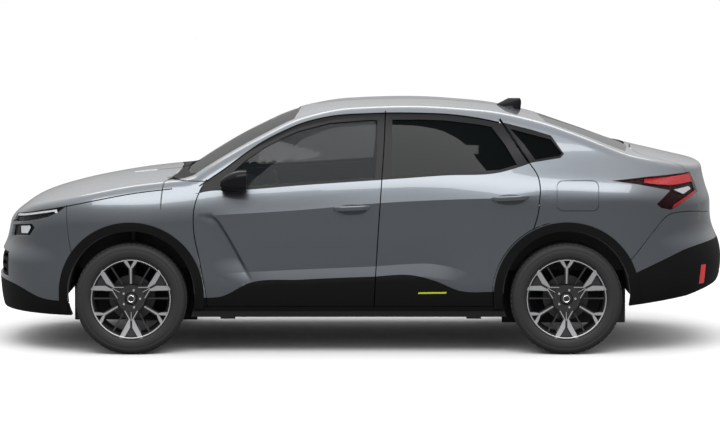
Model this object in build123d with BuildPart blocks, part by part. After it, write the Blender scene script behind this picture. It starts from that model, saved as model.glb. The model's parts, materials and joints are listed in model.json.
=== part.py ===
# Fastback crossover: a four-door body on four wheels, drawn from a side view
# X runs to the rear, Y to the car's right, Z up; the origin is on the ground under the middle
from build123d import *
import math
import os

# Driving dimensions, millimetres and degrees
LENGTH = 4600.0
WHEELBASE = 2670.0
FRONT_OVERHANG = 893.0
WIDTH = 1794.0
HEIGHT = 1530.0
HALF_TRACK = 775.0
TYRE_RADIUS = 343.0
TYRE_WIDTH = 195.0
RIM_RADIUS = 246.0
ARCH_RADIUS = 392.0
ARCH_LIFT = 30.0
TRIM_RADIUS = 446.0
TRIM_STAND = 11.0
WALL = 45.0
ROOF_WALL = 35.0
SEAM = 6.0
GLASS = 5.0
DOOR_DEPTH = 92.0
STEER_AXIS = 720.0
STUB_RADIUS = 30.0
FLOOR_TOP = 262.0
DASH_HALF = 676.0
ARM_TIP = 16.0

FRONT_AXLE = FRONT_OVERHANG - LENGTH / 2
REAR_AXLE = FRONT_AXLE + WHEELBASE
ARCH_HEIGHT = TYRE_RADIUS + ARCH_LIFT


# The outlines are drawn for a 4600 x 1794 x 1530 car and follow the driving dimensions
def station(x):
    drawn = (-2300, -1407, 1263, 2300)
    real = (-LENGTH / 2, FRONT_AXLE, REAR_AXLE, LENGTH / 2)
    i = 0 if x < drawn[1] else 1 if x < drawn[2] else 2
    return real[i] + (x - drawn[i]) * (real[i + 1] - real[i]) / (drawn[i + 1] - drawn[i])


def level(z):
    return z * HEIGHT / 1530


def across(y):
    return y * WIDTH / 1794


def side_points(points):
    return [(station(x), level(z)) for x, z in points]


def plan_points(points):
    return [(station(x), across(y)) for x, y in points]


def along(value, points):
    xs = [p[0] for p in points]
    ys = [p[1] for p in points]
    value = min(max(value, xs[0]), xs[-1])
    spans = [b - a for a, b in zip(xs, xs[1:])]
    rises = [(b - a) / s for a, b, s in zip(ys, ys[1:], spans)]
    slopes = [rises[0]]
    for before, after in zip(rises, rises[1:]):
        slopes.append(0 if before * after <= 0 else 2 * before * after / (before + after))
    slopes.append(rises[-1])
    i = max(k for k in range(len(spans)) if value >= xs[k])
    t = (value - xs[i]) / spans[i]
    return ((1 + 2 * t) * (1 - t) ** 2 * ys[i] + t * (1 - t) ** 2 * spans[i] * slopes[i]
            + t * t * (3 - 2 * t) * ys[i + 1] + t * t * (t - 1) * spans[i] * slopes[i + 1])


def smooth(value, start, end):
    s = min(1, max(0, (value - start) / (end - start)))
    return s * s * (3 - 2 * s)


# Body skin: plan contours from sill to roof, closed on top by a hood and canopy profile
NOSE = [(150, -2250), (300, -2290), (450, -2299), (560, -2292), (660, -2250),
        (760, -2228), (880, -2195), (1000, -2150), (1200, -2070), (1700, -1900)]
TAIL = [(150, 2080), (300, 2210), (420, 2288), (540, 2300), (640, 2284), (740, 2240),
        (820, 2226), (900, 2224), (1000, 2192), (1100, 2170), (1200, 2160), (1700, 2140)]
HALF = [(150, 800), (250, 838), (350, 862), (480, 874), (600, 872), (750, 880), (880, 887),
        (950, 882), (1020, 864), (1100, 828), (1200, 781), (1300, 733), (1400, 680),
        (1474, 636), (1520, 606), (1600, 552), (1700, 480)]
HOOD = [(-2360, 730), (-2205, 812), (-2085, 903), (-1930, 962), (-1700, 1018), (-1467, 1054), (-1110, 1088)]
CANOPY = [(-1110, 1088), (-914, 1216), (-700, 1338), (-390, 1470), (-100, 1518), (300, 1530),
          (765, 1503), (1073, 1446), (1381, 1353), (1690, 1246), (1900, 1196), (2180, 1130)]
BOW = [(-2400, 20), (-2100, 20), (-1900, 30), (-1500, 40), (-1110, 45), (-390, 60), (228, 0), (1120, -12),
       (1750, -30), (2300, -20)]
CROWN = [(-2400, 15), (-1900, 16), (-1400, 10), (-1110, 8), (-600, 18), (0, 18), (1000, 18), (1700, 22),
         (2300, 20)]
LEVELS = [180 + i * (1600 - 180) / 15 for i in range(16)]


def half_width(x, z):
    rise = 0.05 * max(min(x, 1300), -1300) * smooth(z, 450, 850) * (1 - smooth(z, 1150, 1480))
    y = along(z - rise, HALF)
    for axle in (-1407, 1263):
        y += 12 * math.exp(-((x - axle) / 430) ** 2) * math.exp(-((z - 720) / 230) ** 2)
    y -= smooth(x, 200, 1900) * 90 * smooth(z, 950, 1250)
    y -= smooth(-x, 700, 1500) * 20 * smooth(z, 900, 1100)
    return y


def contour(z, inset):
    nose, tail = along(z, NOSE) + inset, along(z, TAIL) - inset
    start, end, power = -1450, 1450, 2 / 2.5
    points = []
    for turn in (90, 72, 54, 38, 24, 10):
        s, c = math.sin(math.radians(turn)), math.cos(math.radians(turn))
        x = start + (nose - start) * s ** power
        points.append((x, 0 if turn == 90 else (half_width(x, z) - inset) * c ** power))
    for x in (-1450, -1050, -600, -150, 300, 700, 1080, 1450):
        points.append((x, half_width(x, z) - inset))
    for turn in (10, 24, 38, 54, 72, 90):
        s, c = math.sin(math.radians(turn)), math.cos(math.radians(turn))
        x = end + (tail - end) * s ** power
        points.append((x, 0 if turn == 90 else (half_width(x, z) - inset) * c ** power))
    return plan_points(points)


def even_spline(points):
    add(Edge.make_spline(points, parameters=[i / (len(points) - 1) for i in range(len(points))]))


def side_half(inset):
    with BuildPart() as side:
        for z in LEVELS:
            points = contour(z, inset)
            with BuildSketch(Plane.XY.offset(level(z))):
                with BuildLine():
                    even_spline(points)
                    if inset > 0:
                        Polyline(points[-1], (points[-1][0], -30), (points[0][0], -30), points[0])
                    else:
                        Line(points[-1], points[0])
                make_face()
        loft(clean=False)
    return side.part


def top_skin(inset):
    with BuildPart() as top:
        for y in (-900, -600, -300, 0, 300, 600, 900):
            q = (y / 600) ** 2
            curves = []
            for profile in (HOOD, CANOPY):
                curves.append([(station(x + along(x, BOW) * q), level(z - along(x, CROWN) * q) - inset)
                               for x, z in profile])
            with BuildSketch(Plane.XZ.offset(-across(y))):
                with BuildLine():
                    even_spline(curves[0])
                    even_spline(curves[1])
                    Polyline(curves[1][-1], (station(2500), level(900) - inset), (station(2500), level(100)),
                             (station(-2700), level(100)), (station(-2700), level(600) - inset), curves[0][0])
                make_face()
        loft(clean=False)
    return top.part


# Cutting shapes, seen from the side or from above
def side_prism(points, y_from, y_to):
    with BuildPart() as block:
        with BuildSketch(Plane.XZ.offset(-y_from)):
            with BuildLine():
                Polyline(*side_points(points), close=True)
            make_face()
        extrude(amount=y_from - y_to)
    return block.part


def plan_prism(points, z_from, z_to):
    with BuildPart() as block:
        with BuildSketch(Plane.XY.offset(level(z_from))):
            with BuildLine():
                Polyline(*plan_points(points), close=True)
            make_face()
        extrude(amount=level(z_to) - level(z_from))
    return block.part


def side_slit(points, y_from, y_to, width=SEAM):
    with BuildPart() as block:
        with BuildSketch(Plane.XZ.offset(-y_from)):
            with BuildLine():
                if len(points) > 2:
                    Spline(*side_points(points))
                else:
                    Line(*side_points(points))
            trace(line_width=width)
        extrude(amount=y_from - y_to)
    return block.part


def plan_slit(points, z_from, z_to, radius=60, width=SEAM):
    with BuildPart() as block:
        with BuildSketch(Plane.XY.offset(level(z_from))):
            with BuildLine():
                if len(points) > 2:
                    FilletPolyline(*plan_points(points), radius=radius)
                else:
                    Line(*plan_points(points))
            trace(line_width=width)
        extrude(amount=level(z_to) - level(z_from))
    return block.part


def arch_block(axle, radius, y_from, y_to, height=ARCH_HEIGHT):
    with BuildPart() as block:
        with BuildSketch(Plane.XZ.offset(-y_from)):
            with Locations((axle, height)):
                Circle(radius)
        extrude(amount=y_from - y_to)
    return block.part


outer_half = side_half(0)
outer_top = top_skin(0)
inner_half = side_half(WALL)
inner_top = top_skin(ROOF_WALL)
trim_half = side_half(-TRIM_STAND)

with BuildPart() as cavity:
    add(inner_half)
    add(inner_top, mode=Mode.INTERSECT)

# Shut lines, drawn from the side
PILLAR_FOOT = [(-930, 1064), (-1060, 1066), (-1240, 1072)]
DOOR_TOP = [(-985, 1036), (-949, 1060), (-823, 1144), (-708, 1228), (-593, 1303), (-475, 1362), (-376, 1404),
            (-191, 1450), (55, 1468), (367, 1470), (521, 1464), (721, 1440), (878, 1409)]
FRONT_DOOR_EDGE = [(-940, 1076), (-984, 1000), (-1014, 909), (-1020, 800), (-981, 566), (-945, 340),
                   (-940, 286)]
MIDDLE_EDGE = [(82, 286), (105, 700), (131, 1090), (146, 1300), (154, 1485)]
REAR_DOOR_EDGE = [(858, 1434), (951, 1295), (1030, 1180), (1084, 1096), (1096, 1030), (1092, 956), (1085, 880),
                  (1060, 788)]
FRONT_BUMPER_EDGE = [(-1800, 940), (-1795, 800), (-1772, 640), (-1735, 540)]
REAR_BUMPER_EDGE = [(1580, 500), (1700, 640), (1800, 765), (1890, 856), (2000, 868), (2140, 850), (2360, 770)]
FRONT_SKIRT_EDGE = [(-2420, 430), (-2150, 405), (-1960, 335), (-1700, 330)]
REAR_SKIRT_EDGE = [(1590, 462), (1720, 520), (1870, 585), (2012, 640), (2150, 665), (2420, 672)]

FRONT_WINDOW = [(-800, 1036), (-384, 1056), (88, 1088), (100, 1260), (104, 1428), (55, 1431), (-191, 1412),
                (-376, 1366), (-475, 1324), (-593, 1262), (-708, 1184), (-790, 1112)]
REAR_WINDOW = [(186, 1096), (516, 1114), (850, 1134), (958, 1164), (890, 1280), (806, 1388), (721, 1404),
               (521, 1427), (367, 1433), (196, 1432)]
QUARTER_WINDOW = [(1072, 1192), (1222, 1216), (1236, 1232), (1170, 1312), (1052, 1342), (922, 1376),
                  (1000, 1290)]
WINDSCREEN = [(-1092, -20), (-1086, 300), (-1056, 560), (-1008, 690), (-720, 642), (-410, 560), (-388, 300),
              (-380, -20)]
REAR_GLASS = [(1130, -20), (1136, 300), (1152, 515), (1640, 585), (1678, 300), (1690, -20)]
HEADLAMP = [(-2380, 786), (-2140, 838), (-1960, 880), (-1806, 906), (-1860, 868), (-1930, 836), (-2040, 806),
            (-2160, 780), (-2380, 748)]
LOW_LAMP = [(-2380, 700), (-2120, 776), (-2030, 790), (-2010, 770), (-2045, 716), (-2120, 706), (-2380, 640)]
TAIL_LAMP = [(1532, 1070), (1760, 1090), (2067, 1104), (2400, 1096), (2400, 985), (2110, 988), (1905, 884),
             (1840, 900), (1812, 926), (1900, 1004), (1700, 1046)]
INTAKE = [(-2420, 600), (-2200, 596), (-2200, 440), (-2420, 440)]

TOP_SLIT = 9.0
FRAME_SLIT = 18.0
DOOR_SLIT = 8.0
LID_SLIT = 14.0
HOOD_SLIT = 12.0

# Hinge lines: upright pins near the skin of the doors, cross pins just under the skin of hood and boot lid
FRONT_HINGE = station(-950)
REAR_HINGE = station(140)
HINGE_Y = across(870)
HINGE_HEIGHTS = (level(720), level(860))
HOOD_HINGE = (station(-1146), level(1076))
LID_HINGE = (station(1741), level(1223))
HINGE_PIN = 5.0
PIN_PLAY = 0.4

with BuildPart() as rear_arc:
    with BuildSketch(Plane.XZ.offset(-across(560))):
        with BuildLine():
            CenterArc((REAR_AXLE, ARCH_HEIGHT), TRIM_RADIUS + 9, 106, 66)
        trace(line_width=SEAM)
        with BuildLine():
            Line((REAR_AXLE - (TRIM_RADIUS + 9) * math.cos(math.radians(8)),
                  ARCH_HEIGHT + (TRIM_RADIUS + 9) * math.sin(math.radians(8)) + 4),
                 (REAR_AXLE - TRIM_RADIUS - 2, level(286)))
        trace(line_width=SEAM)
    extrude(amount=-across(600))

# The hood is the top layer of the nose, so its edge is a line just below the crown of the fenders
HOOD_PLAN = [(-2500, -20), (-2500, 990), (-1232, 990), (-1190, 740), (-1150, 420), (-1137, 200), (-1134, -20)]
with BuildPart() as hood_gap:
    add(plan_prism([(x if x < -2000 else x + HOOD_SLIT, y) for x, y in HOOD_PLAN], 600, 1300))
    add(top_skin(ROOF_WALL + SEAM), mode=Mode.SUBTRACT)
with BuildPart() as hood_half:
    add(plan_prism(HOOD_PLAN, 600, 1300))
    add(outer_half, mode=Mode.INTERSECT)
    add(outer_top, mode=Mode.INTERSECT)
    add(inner_top, mode=Mode.SUBTRACT)

cutters = [
    # the open underside and the wheel arches
    side_prism([(-2500, 100), (2500, 100), (2500, 560), (2310, 470), (2240, 400), (2020, 345), (1650, 300),
                (900, 268), (-1000, 268), (-1800, 236), (-2500, 240)], -60, 1000),
    arch_block(FRONT_AXLE, ARCH_RADIUS, across(430), 1000),
    arch_block(REAR_AXLE, ARCH_RADIUS, across(560), 1000),
    # windows, windscreen and rear glass
    side_prism(FRONT_WINDOW, across(560), 1000),
    side_prism(REAR_WINDOW, across(560), 1000),
    side_prism(QUARTER_WINDOW, across(560), 1000),
    plan_prism(WINDSCREEN, 1050, 1600),
    plan_prism(REAR_GLASS, 1050, 1600),
    # shut lines
    hood_gap.part,
    plan_slit([(-1250, 722), (-980, 686)], 950, 1300),
    side_slit(PILLAR_FOOT, across(560), 1000),
    side_slit(DOOR_TOP, across(580), 1000, TOP_SLIT),
    side_slit(FRONT_DOOR_EDGE, across(580), 1000, DOOR_SLIT),
    side_slit(MIDDLE_EDGE, across(580), 1000, DOOR_SLIT),
    side_slit(REAR_DOOR_EDGE, across(580), 1000, 2 * SEAM),
    side_slit(REAR_DOOR_EDGE[:3], across(580), 1000, FRAME_SLIT),
    side_prism([(126, 1090), (133, 1090), (158, 1490), (136, 1490)], across(580), 1000),
    rear_arc.part,
    side_slit([(-1040, 297), (830, 297)], across(580), 1000),
    side_slit(FRONT_BUMPER_EDGE, across(430), 1000),
    side_slit(REAR_BUMPER_EDGE, -10, 1000),
    side_slit(FRONT_SKIRT_EDGE, -10, 1000),
    side_slit(REAR_SKIRT_EDGE, -10, 1000),
    plan_slit([(-440, 562), (300, 566), (1175, 512)], 1200, 1600, radius=3000),
    plan_slit([(1722, -20), (1722, 548), (2450, 548)], 800, 1500),
    plan_prism([(1719, -20), (1719, 490), (1719 + LID_SLIT, 490), (1719 + LID_SLIT, -20)], 1100, 1500),
    side_prism(INTAKE, -10, across(520)),
]

with BuildPart() as shell:
    add(outer_half)
    add(outer_top, mode=Mode.INTERSECT)
    add(cavity.part, mode=Mode.SUBTRACT)
    add(cutters, mode=Mode.SUBTRACT, clean=False)

panels = shell.part.solids()


def panel_at(x, y, z):
    return panels.sort_by_distance((station(x), across(y), level(z)))[0]


SIDES = ("left", "right")


def place(solid, side):
    if side == "right":
        add(solid)
    else:
        mirror(solid, about=Plane.XZ)


def keep(part, name):
    part.label = name
    export_step(part, f"parts/{name}.step")


os.makedirs("parts", exist_ok=True)

with BuildPart() as trim_band:
    add(trim_half)
    add(outer_half, mode=Mode.SUBTRACT)
with BuildPart() as glass_band:
    add(side_half(9))
    add(side_half(9 + GLASS), mode=Mode.SUBTRACT)
with BuildPart() as door_band:
    add(inner_half)
    add(side_half(DOOR_DEPTH), mode=Mode.SUBTRACT)

# Centre panels, mirrored about the middle plane
def cross_pin(spot, y_from, y_to, radius):
    with BuildPart() as pin:
        with BuildSketch(Plane.XZ.offset(-across(y_from))):
            with Locations(spot):
                Circle(radius)
        extrude(amount=across(y_from - y_to))
    return pin.part


with BuildPart() as hood:
    add(hood_half.part)
    # a slot under the rear edge for the hinge arm, and the bore for its pin
    with Locations((HOOD_HINGE[0] + 11, across(170), HOOD_HINGE[1] - 18)):
        Box(50, 28, 46, mode=Mode.SUBTRACT)
    add(cross_pin(HOOD_HINGE, 134, 206, HINGE_PIN + PIN_PLAY - 1), mode=Mode.SUBTRACT)
    mirror(about=Plane.XZ)
keep(hood.part, "hood")

with BuildPart() as roof_panel:
    add(panel_at(300, 200, 1510))
    mirror(about=Plane.XZ)
    # shark fin aerial near the rear of the roof
    with BuildSketch(Plane.XZ):
        with BuildLine():
            Polyline(*side_points([(850, 1470), (850, 1492), (950, 1538), (985, 1538), (1000, 1455)]),
                     close=True)
        make_face()
    extrude(amount=18, both=True)
keep(roof_panel.part, "roof_panel")

with BuildPart() as boot_lid:
    add(panel_at(2000, 200, 1170))
    with Locations((LID_HINGE[0] - 8, across(170), LID_HINGE[1] - 20)):
        Box(44, 28, 50, mode=Mode.SUBTRACT)
    add(cross_pin(LID_HINGE, 134, 206, HINGE_PIN + PIN_PLAY - 1), mode=Mode.SUBTRACT)
    mirror(about=Plane.XZ)
keep(boot_lid.part, "boot_lid")

with BuildPart() as cowl:
    add(panel_at(-1100, 200, 1080))
    mirror(about=Plane.XZ)
keep(cowl.part, "cowl")

with BuildPart() as front_bumper:
    add(panel_at(-2200, 400, 680))
    for outline in (HEADLAMP, LOW_LAMP):
        add(side_prism(outline, across(420), 1000), mode=Mode.SUBTRACT)
    mirror(about=Plane.XZ)
keep(front_bumper.part, "front_bumper")

with BuildPart() as headlamps:
    for outline in (HEADLAMP, LOW_LAMP):
        with BuildPart(mode=Mode.PRIVATE) as lamp:
            add(panel_at(-2200, 400, 680))
            add(side_prism(outline, across(420), 1000), mode=Mode.INTERSECT)
        add(lamp.part)
    mirror(about=Plane.XZ)
keep(headlamps.part, "headlamps")

with BuildPart() as rear_bumper:
    add(panel_at(2200, 300, 760))
    mirror(about=Plane.XZ)
keep(rear_bumper.part, "rear_bumper")

with BuildPart() as skirts:
    add(panel_at(-2200, 300, 300))
    add(panel_at(2250, 300, 520))
    mirror(about=Plane.XZ)
keep(skirts.part, "skirts")

with BuildPart() as fenders:
    add(panel_at(-1100, 880, 700))
    mirror(about=Plane.XZ)
keep(fenders.part, "fenders")

# The body side is one frame around both doors, with the tail lamp and the fuel flap let into it
with BuildPart() as side_frame:
    add(panel_at(1500, 860, 800))
    add(side_prism(TAIL_LAMP, across(552), 1000), mode=Mode.SUBTRACT)

with BuildPart() as tail_lamps:
    add(panel_at(1500, 860, 800))
    add(side_prism(TAIL_LAMP, across(552), 1000), mode=Mode.INTERSECT)
    mirror(about=Plane.XZ)
keep(tail_lamps.part, "tail_lamps")

with BuildPart() as body_side_right:
    add(side_frame.part)
keep(body_side_right.part, "body_side_right")

FLAP_CENTRE = (station(1325), level(980))
FLAP_SIZE = (250, 176)
FLAP_DEPTH = 10
FLAP_POCKET = 22
with BuildPart() as flap_skin:
    with BuildSketch(Plane.XZ):
        with Locations(FLAP_CENTRE):
            RectangleRounded(FLAP_SIZE[0], FLAP_SIZE[1], 34)
    extrude(amount=1000)
    mirror(outer_half, about=Plane.XZ, mode=Mode.INTERSECT)
    mirror(side_half(FLAP_DEPTH), about=Plane.XZ, mode=Mode.SUBTRACT)
with BuildPart() as flap_room:
    with BuildSketch(Plane.XZ):
        with Locations(FLAP_CENTRE):
            RectangleRounded(FLAP_SIZE[0] + 2 * SEAM, FLAP_SIZE[1] + 2 * SEAM, 34 + SEAM)
    extrude(amount=1000)
    mirror(side_half(FLAP_POCKET), about=Plane.XZ, mode=Mode.SUBTRACT)
with BuildPart() as body_side_left:
    mirror(side_frame.part, about=Plane.XZ)
    add(flap_room.part, mode=Mode.SUBTRACT)
keep(body_side_left.part, "body_side_left")
with BuildPart() as fuel_flap:
    add(flap_skin.part)
keep(fuel_flap.part, "fuel_flap")

# Doors: outer panel with frame, inner trim, lower cladding and a pull handle in one piece
FRONT_TRIM = [(-915, 1008), (-400, 1034), (58, 1066), (40, 330), (-900, 330)]
REAR_TRIM = [(165, 1076), (516, 1092), (860, 1112), (1000, 1120), (1050, 1030), (1048, 860), (960, 800),
             (850, 690), (782, 560), (765, 330), (140, 330)]
FRONT_CLADDING = [(-934, 352), (-860, 360), (-676, 445), (-370, 464), (84, 483), (78, 303), (-930, 303)]
REAR_CLADDING = [(96, 484), (333, 489), (456, 457), (609, 395), (790, 389), (790, 303), (92, 303)]
FRONT_HANDLE = (-52, 907)
REAR_HANDLE = (905, 968)


def door(panel, trim, cladding, handle, hinge, side):
    with BuildPart() as inner_trim:
        add(side_prism(trim, across(500), 1000))
        add(door_band.part, mode=Mode.INTERSECT)
    with BuildPart() as outer_trim:
        add(side_prism(cladding, across(500), 1000))
        add(trim_band.part, mode=Mode.INTERSECT)
    x, z = station(handle[0]), level(handle[1])
    y = across(half_width(handle[0], handle[1]))
    with BuildPart() as grip:
        with BuildSketch(Plane.XY.offset(z)):
            with BuildLine():
                Polyline((x - 110, y - 12), (x - 105, y + 14), (x - 75, y + 30), (x + 75, y + 30),
                         (x + 105, y + 14), (x + 110, y - 12), (x + 82, y - 12), (x + 70, y + 12),
                         (x - 70, y + 12), (x - 82, y - 12), close=True)
            make_face()
        extrude(amount=13, both=True)
    with BuildPart() as whole:
        add(panel)
        add(inner_trim.part)
        add(outer_trim.part)
        add(grip.part)
        # slots for the hinge arms and bores for their pins
        for z in HINGE_HEIGHTS:
            with Locations((hinge - 40, HINGE_Y - 45, z)):
                Box(104, 110, 28, mode=Mode.SUBTRACT)
            with Locations((hinge, HINGE_Y, z)):
                Cylinder(HINGE_PIN + PIN_PLAY, 80, mode=Mode.SUBTRACT)
    with BuildPart() as placed:
        place(whole.part, side)
    return placed.part


for side in SIDES:
    keep(door(panel_at(-500, 880, 700), FRONT_TRIM, FRONT_CLADDING, FRONT_HANDLE, FRONT_HINGE, side),
         f"front_door_{side}")
    keep(door(panel_at(500, 880, 700), REAR_TRIM, REAR_CLADDING, REAR_HANDLE, REAR_HINGE, side),
         f"rear_door_{side}")
    for name, outline in (("front_glass", FRONT_WINDOW), ("rear_glass", REAR_WINDOW)):
        with BuildPart() as pane:
            add(side_prism(outline, across(500), 1000))
            add(glass_band.part, mode=Mode.INTERSECT)
        with BuildPart() as door_pane:
            place(pane.part, side)
        keep(door_pane.part, f"{name}_{side}")

# Glass fixed to the body: windscreen, rear screen and the two quarter lights
with BuildPart() as fixed_glass:
    with BuildPart(mode=Mode.PRIVATE) as quarter:
        add(side_prism(QUARTER_WINDOW, across(500), 1000))
        add(glass_band.part, mode=Mode.INTERSECT)
    add(quarter.part)
    mirror(about=Plane.XZ)
    with BuildPart(mode=Mode.PRIVATE) as screens:
        for outline in (WINDSCREEN, REAR_GLASS):
            edge = outline[1:-1]
            add(plan_prism(edge + [(x, -y) for x, y in reversed(edge)], 1050, 1600))
        add(top_skin(7), mode=Mode.INTERSECT)
        add(top_skin(7 + GLASS), mode=Mode.SUBTRACT)
    add(screens.part)
keep(fixed_glass.part, "fixed_glass")

# Mirrors stand on an arm at the foot of each door window
with BuildPart() as mirror_half:
    with BuildSketch(Plane.YZ.offset(station(-690))):
        with Locations((across(945), level(1084))):
            RectangleRounded(176, 120, 40)
    with BuildSketch(Plane.YZ.offset(station(-790))):
        with Locations((across(940), level(1076))):
            RectangleRounded(150, 100, 40)
    with BuildSketch(Plane.YZ.offset(station(-850))):
        with Locations((across(925), level(1062))):
            RectangleRounded(70, 44, 20)
    loft()
    with BuildSketch(Plane.XY.offset(level(1016))):
        with BuildLine():
            Polyline(*plan_points([(-846, 790), (-846, 930), (-760, 930), (-750, 790)]), close=True)
        make_face()
    extrude(amount=36)
    add(outer_half, mode=Mode.SUBTRACT)
for side in SIDES:
    with BuildPart() as door_mirror:
        place(mirror_half.part.solids().sort_by(SortBy.VOLUME)[-1], side)
    keep(door_mirror.part, f"mirror_{side}")

# Arch trims follow the openings and run down to the skirts and sills
with BuildPart() as arch_trims:
    for axle, lows in ((FRONT_AXLE, (238, 272)), (REAR_AXLE, (272, 302))):
        with BuildPart(mode=Mode.PRIVATE) as ring:
            with BuildSketch(Plane.XZ.offset(-across(500))):
                with Locations((axle, ARCH_HEIGHT)):
                    Circle(TRIM_RADIUS)
                    for turn, low in ((-1, lows[0]), (1, lows[1])):
                        leg = ARCH_HEIGHT - level(low)
                        with Locations((turn * (TRIM_RADIUS + ARCH_RADIUS) / 2, -leg / 2)):
                            Rectangle(TRIM_RADIUS - ARCH_RADIUS, leg)
                    Circle(ARCH_RADIUS, mode=Mode.SUBTRACT)
                    with Locations((0, -ARCH_RADIUS)):
                        Rectangle(2 * ARCH_RADIUS, 2 * ARCH_RADIUS, mode=Mode.SUBTRACT)
            extrude(amount=-across(500))
            add(trim_band.part, mode=Mode.INTERSECT)
        add(ring.part)
    mirror(about=Plane.XZ)
keep(arch_trims.part, "arch_trims")

# Arch liners: a thin half tunnel over each wheel with a wall on its inner side
LINER = 7.0
with BuildPart() as arch_liners:
    for axle, inner_y in ((FRONT_AXLE, 472), (REAR_AXLE, 602)):
        for y_from, y_to, hollow in ((inner_y, 832, True), (inner_y, inner_y + LINER, False)):
            with BuildSketch(Plane.XZ.offset(-across(y_from))):
                with Locations((axle, ARCH_HEIGHT)):
                    Circle(ARCH_RADIUS - 0.5)
                    if hollow:
                        Circle(ARCH_RADIUS - LINER, mode=Mode.SUBTRACT)
                    with Locations((0, -ARCH_RADIUS + (0 if hollow else 120))):
                        Rectangle(3 * ARCH_RADIUS, 2 * ARCH_RADIUS, mode=Mode.SUBTRACT)
            extrude(amount=across(y_from - y_to))
    mirror(about=Plane.XZ)
keep(arch_liners.part, "arch_liners")

# Floor, bulkhead, rear step and middle pillars fill the shell from side to side
with BuildPart() as floor_half:
    add(cavity.part)
    with BuildPart(mode=Mode.PRIVATE) as slabs:
        with BuildSketch(Plane.XZ.offset(10)):
            with BuildLine():
                Polyline(*side_points([(-1075, 225), (915, 225), (915, 480), (2150, 480), (2150, 515),
                                       (880, 515), (880, FLOOR_TOP), (-1050, FLOOR_TOP), (-1050, 1030),
                                       (-1075, 1030)]), close=True)
            make_face()
        extrude(amount=-1010)
    add(slabs.part, mode=Mode.INTERSECT)
    add(arch_block(FRONT_AXLE, ARCH_RADIUS + 1, across(465), 1000), mode=Mode.SUBTRACT)
    add(arch_block(REAR_AXLE, ARCH_RADIUS + 1, across(595), 1000), mode=Mode.SUBTRACT)
    split(bisect_by=Plane.XZ, keep=Keep.BOTTOM)
with BuildPart() as pillar_half:
    add(side_half(120))
    add(side_half(165), mode=Mode.SUBTRACT)
    with BuildPart(mode=Mode.PRIVATE) as posts:
        add(side_prism([(60, 250), (170, 250), (185, 1100), (195, 1430), (120, 1430), (85, 1100)],
                       across(300), 1000))
        add(side_prism([(-985, 250), (-905, 250), (-905, 1000), (-985, 1000)], across(300), 1000))
    add(posts.part, mode=Mode.INTERSECT)
with BuildPart() as floor_pan:
    add(floor_half.part)
    add(pillar_half.part)
    # hinge arms with their pins, for the doors and the hood
    for hinge in (FRONT_HINGE, REAR_HINGE):
        for z in HINGE_HEIGHTS:
            with Locations((hinge, HINGE_Y - 60, z)):
                Box(10, 120, 16)
            with Locations((hinge, HINGE_Y, z)):
                Cylinder(HINGE_PIN, 70)
    with Locations(((HOOD_HINGE[0] + station(-1075)) / 2, across(170), level(1008))):
        Box(station(-1075) - HOOD_HINGE[0] + 10, 16, 16)
    with Locations((HOOD_HINGE[0], across(170), (HOOD_HINGE[1] + level(1000)) / 2)):
        Box(9, 16, HOOD_HINGE[1] - level(1000))
    add(cross_pin(HOOD_HINGE, 140, 200, HINGE_PIN - 1))
    # jacking pads under the four corners of the floor
    for x in (-820, 700):
        with Locations((station(x), across(700), level(215))):
            Box(90, 60, level(20))
    mirror(about=Plane.XZ)
keep(floor_pan.part, "floor_pan")

# Front frame: rails, bumper beam, cross member and the lower arms with their steering pins
ARM_Z = 212.0
PIN_RADIUS = 12.0
with BuildPart() as front_frame:
    with Locations((station(-1600), across(430), level(415))):
        Box(station(-1075) - station(-2125), 60, 70)
    with BuildSketch(Plane.XY.offset(ARM_Z - 10)):
        with Locations((FRONT_AXLE + 130, across(345))):
            Rectangle(2 * (station(-1075) - FRONT_AXLE - 130), 80)
        with Locations((FRONT_AXLE, 0)):
            Rectangle(170, across(760))
    extrude(amount=58)
    with BuildSketch(Plane.XY.offset(ARM_Z - 10)):
        with BuildLine():
            Polyline((FRONT_AXLE - 60, across(320)), (FRONT_AXLE + 150, across(320)),
                     (FRONT_AXLE + 34, STEER_AXIS - 40), (FRONT_AXLE + ARM_TIP, STEER_AXIS + ARM_TIP),
                     (FRONT_AXLE - ARM_TIP, STEER_AXIS + ARM_TIP), (FRONT_AXLE - 34, STEER_AXIS - 40),
                     close=True)
        make_face()
    extrude(amount=20)
    with BuildSketch(Plane.XY.offset(ARM_Z)):
        with Locations((FRONT_AXLE, STEER_AXIS)):
            Circle(PIN_RADIUS)
    extrude(amount=75)
    with Locations((FRONT_AXLE, across(415), level(330))):
        Box(90, 90, level(200))
    mirror(about=Plane.XZ)
    with BuildPart(mode=Mode.PRIVATE) as beam:
        add(cavity.part)
        mirror(about=Plane.XZ)
        with BuildSketch(Plane.XZ.offset(across(-560))):
            with BuildLine():
                Polyline(*side_points([(-2300, 360), (-2125, 360), (-2125, 434), (-2300, 434)]), close=True)
            make_face()
        extrude(amount=across(1120), mode=Mode.INTERSECT)
    add(beam.part)
keep(front_frame.part, "front_frame")

with BuildPart() as power_unit:
    with Locations((station(-1500), 0, level(540))):
        Box(560, across(740), level(540))
    fillet(power_unit.edges().filter_by(Axis.Z), 50)
    with Locations((station(-1500), 0, level(840))):
        Box(460, across(560), level(90))
keep(power_unit.part, "power_unit")

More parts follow.
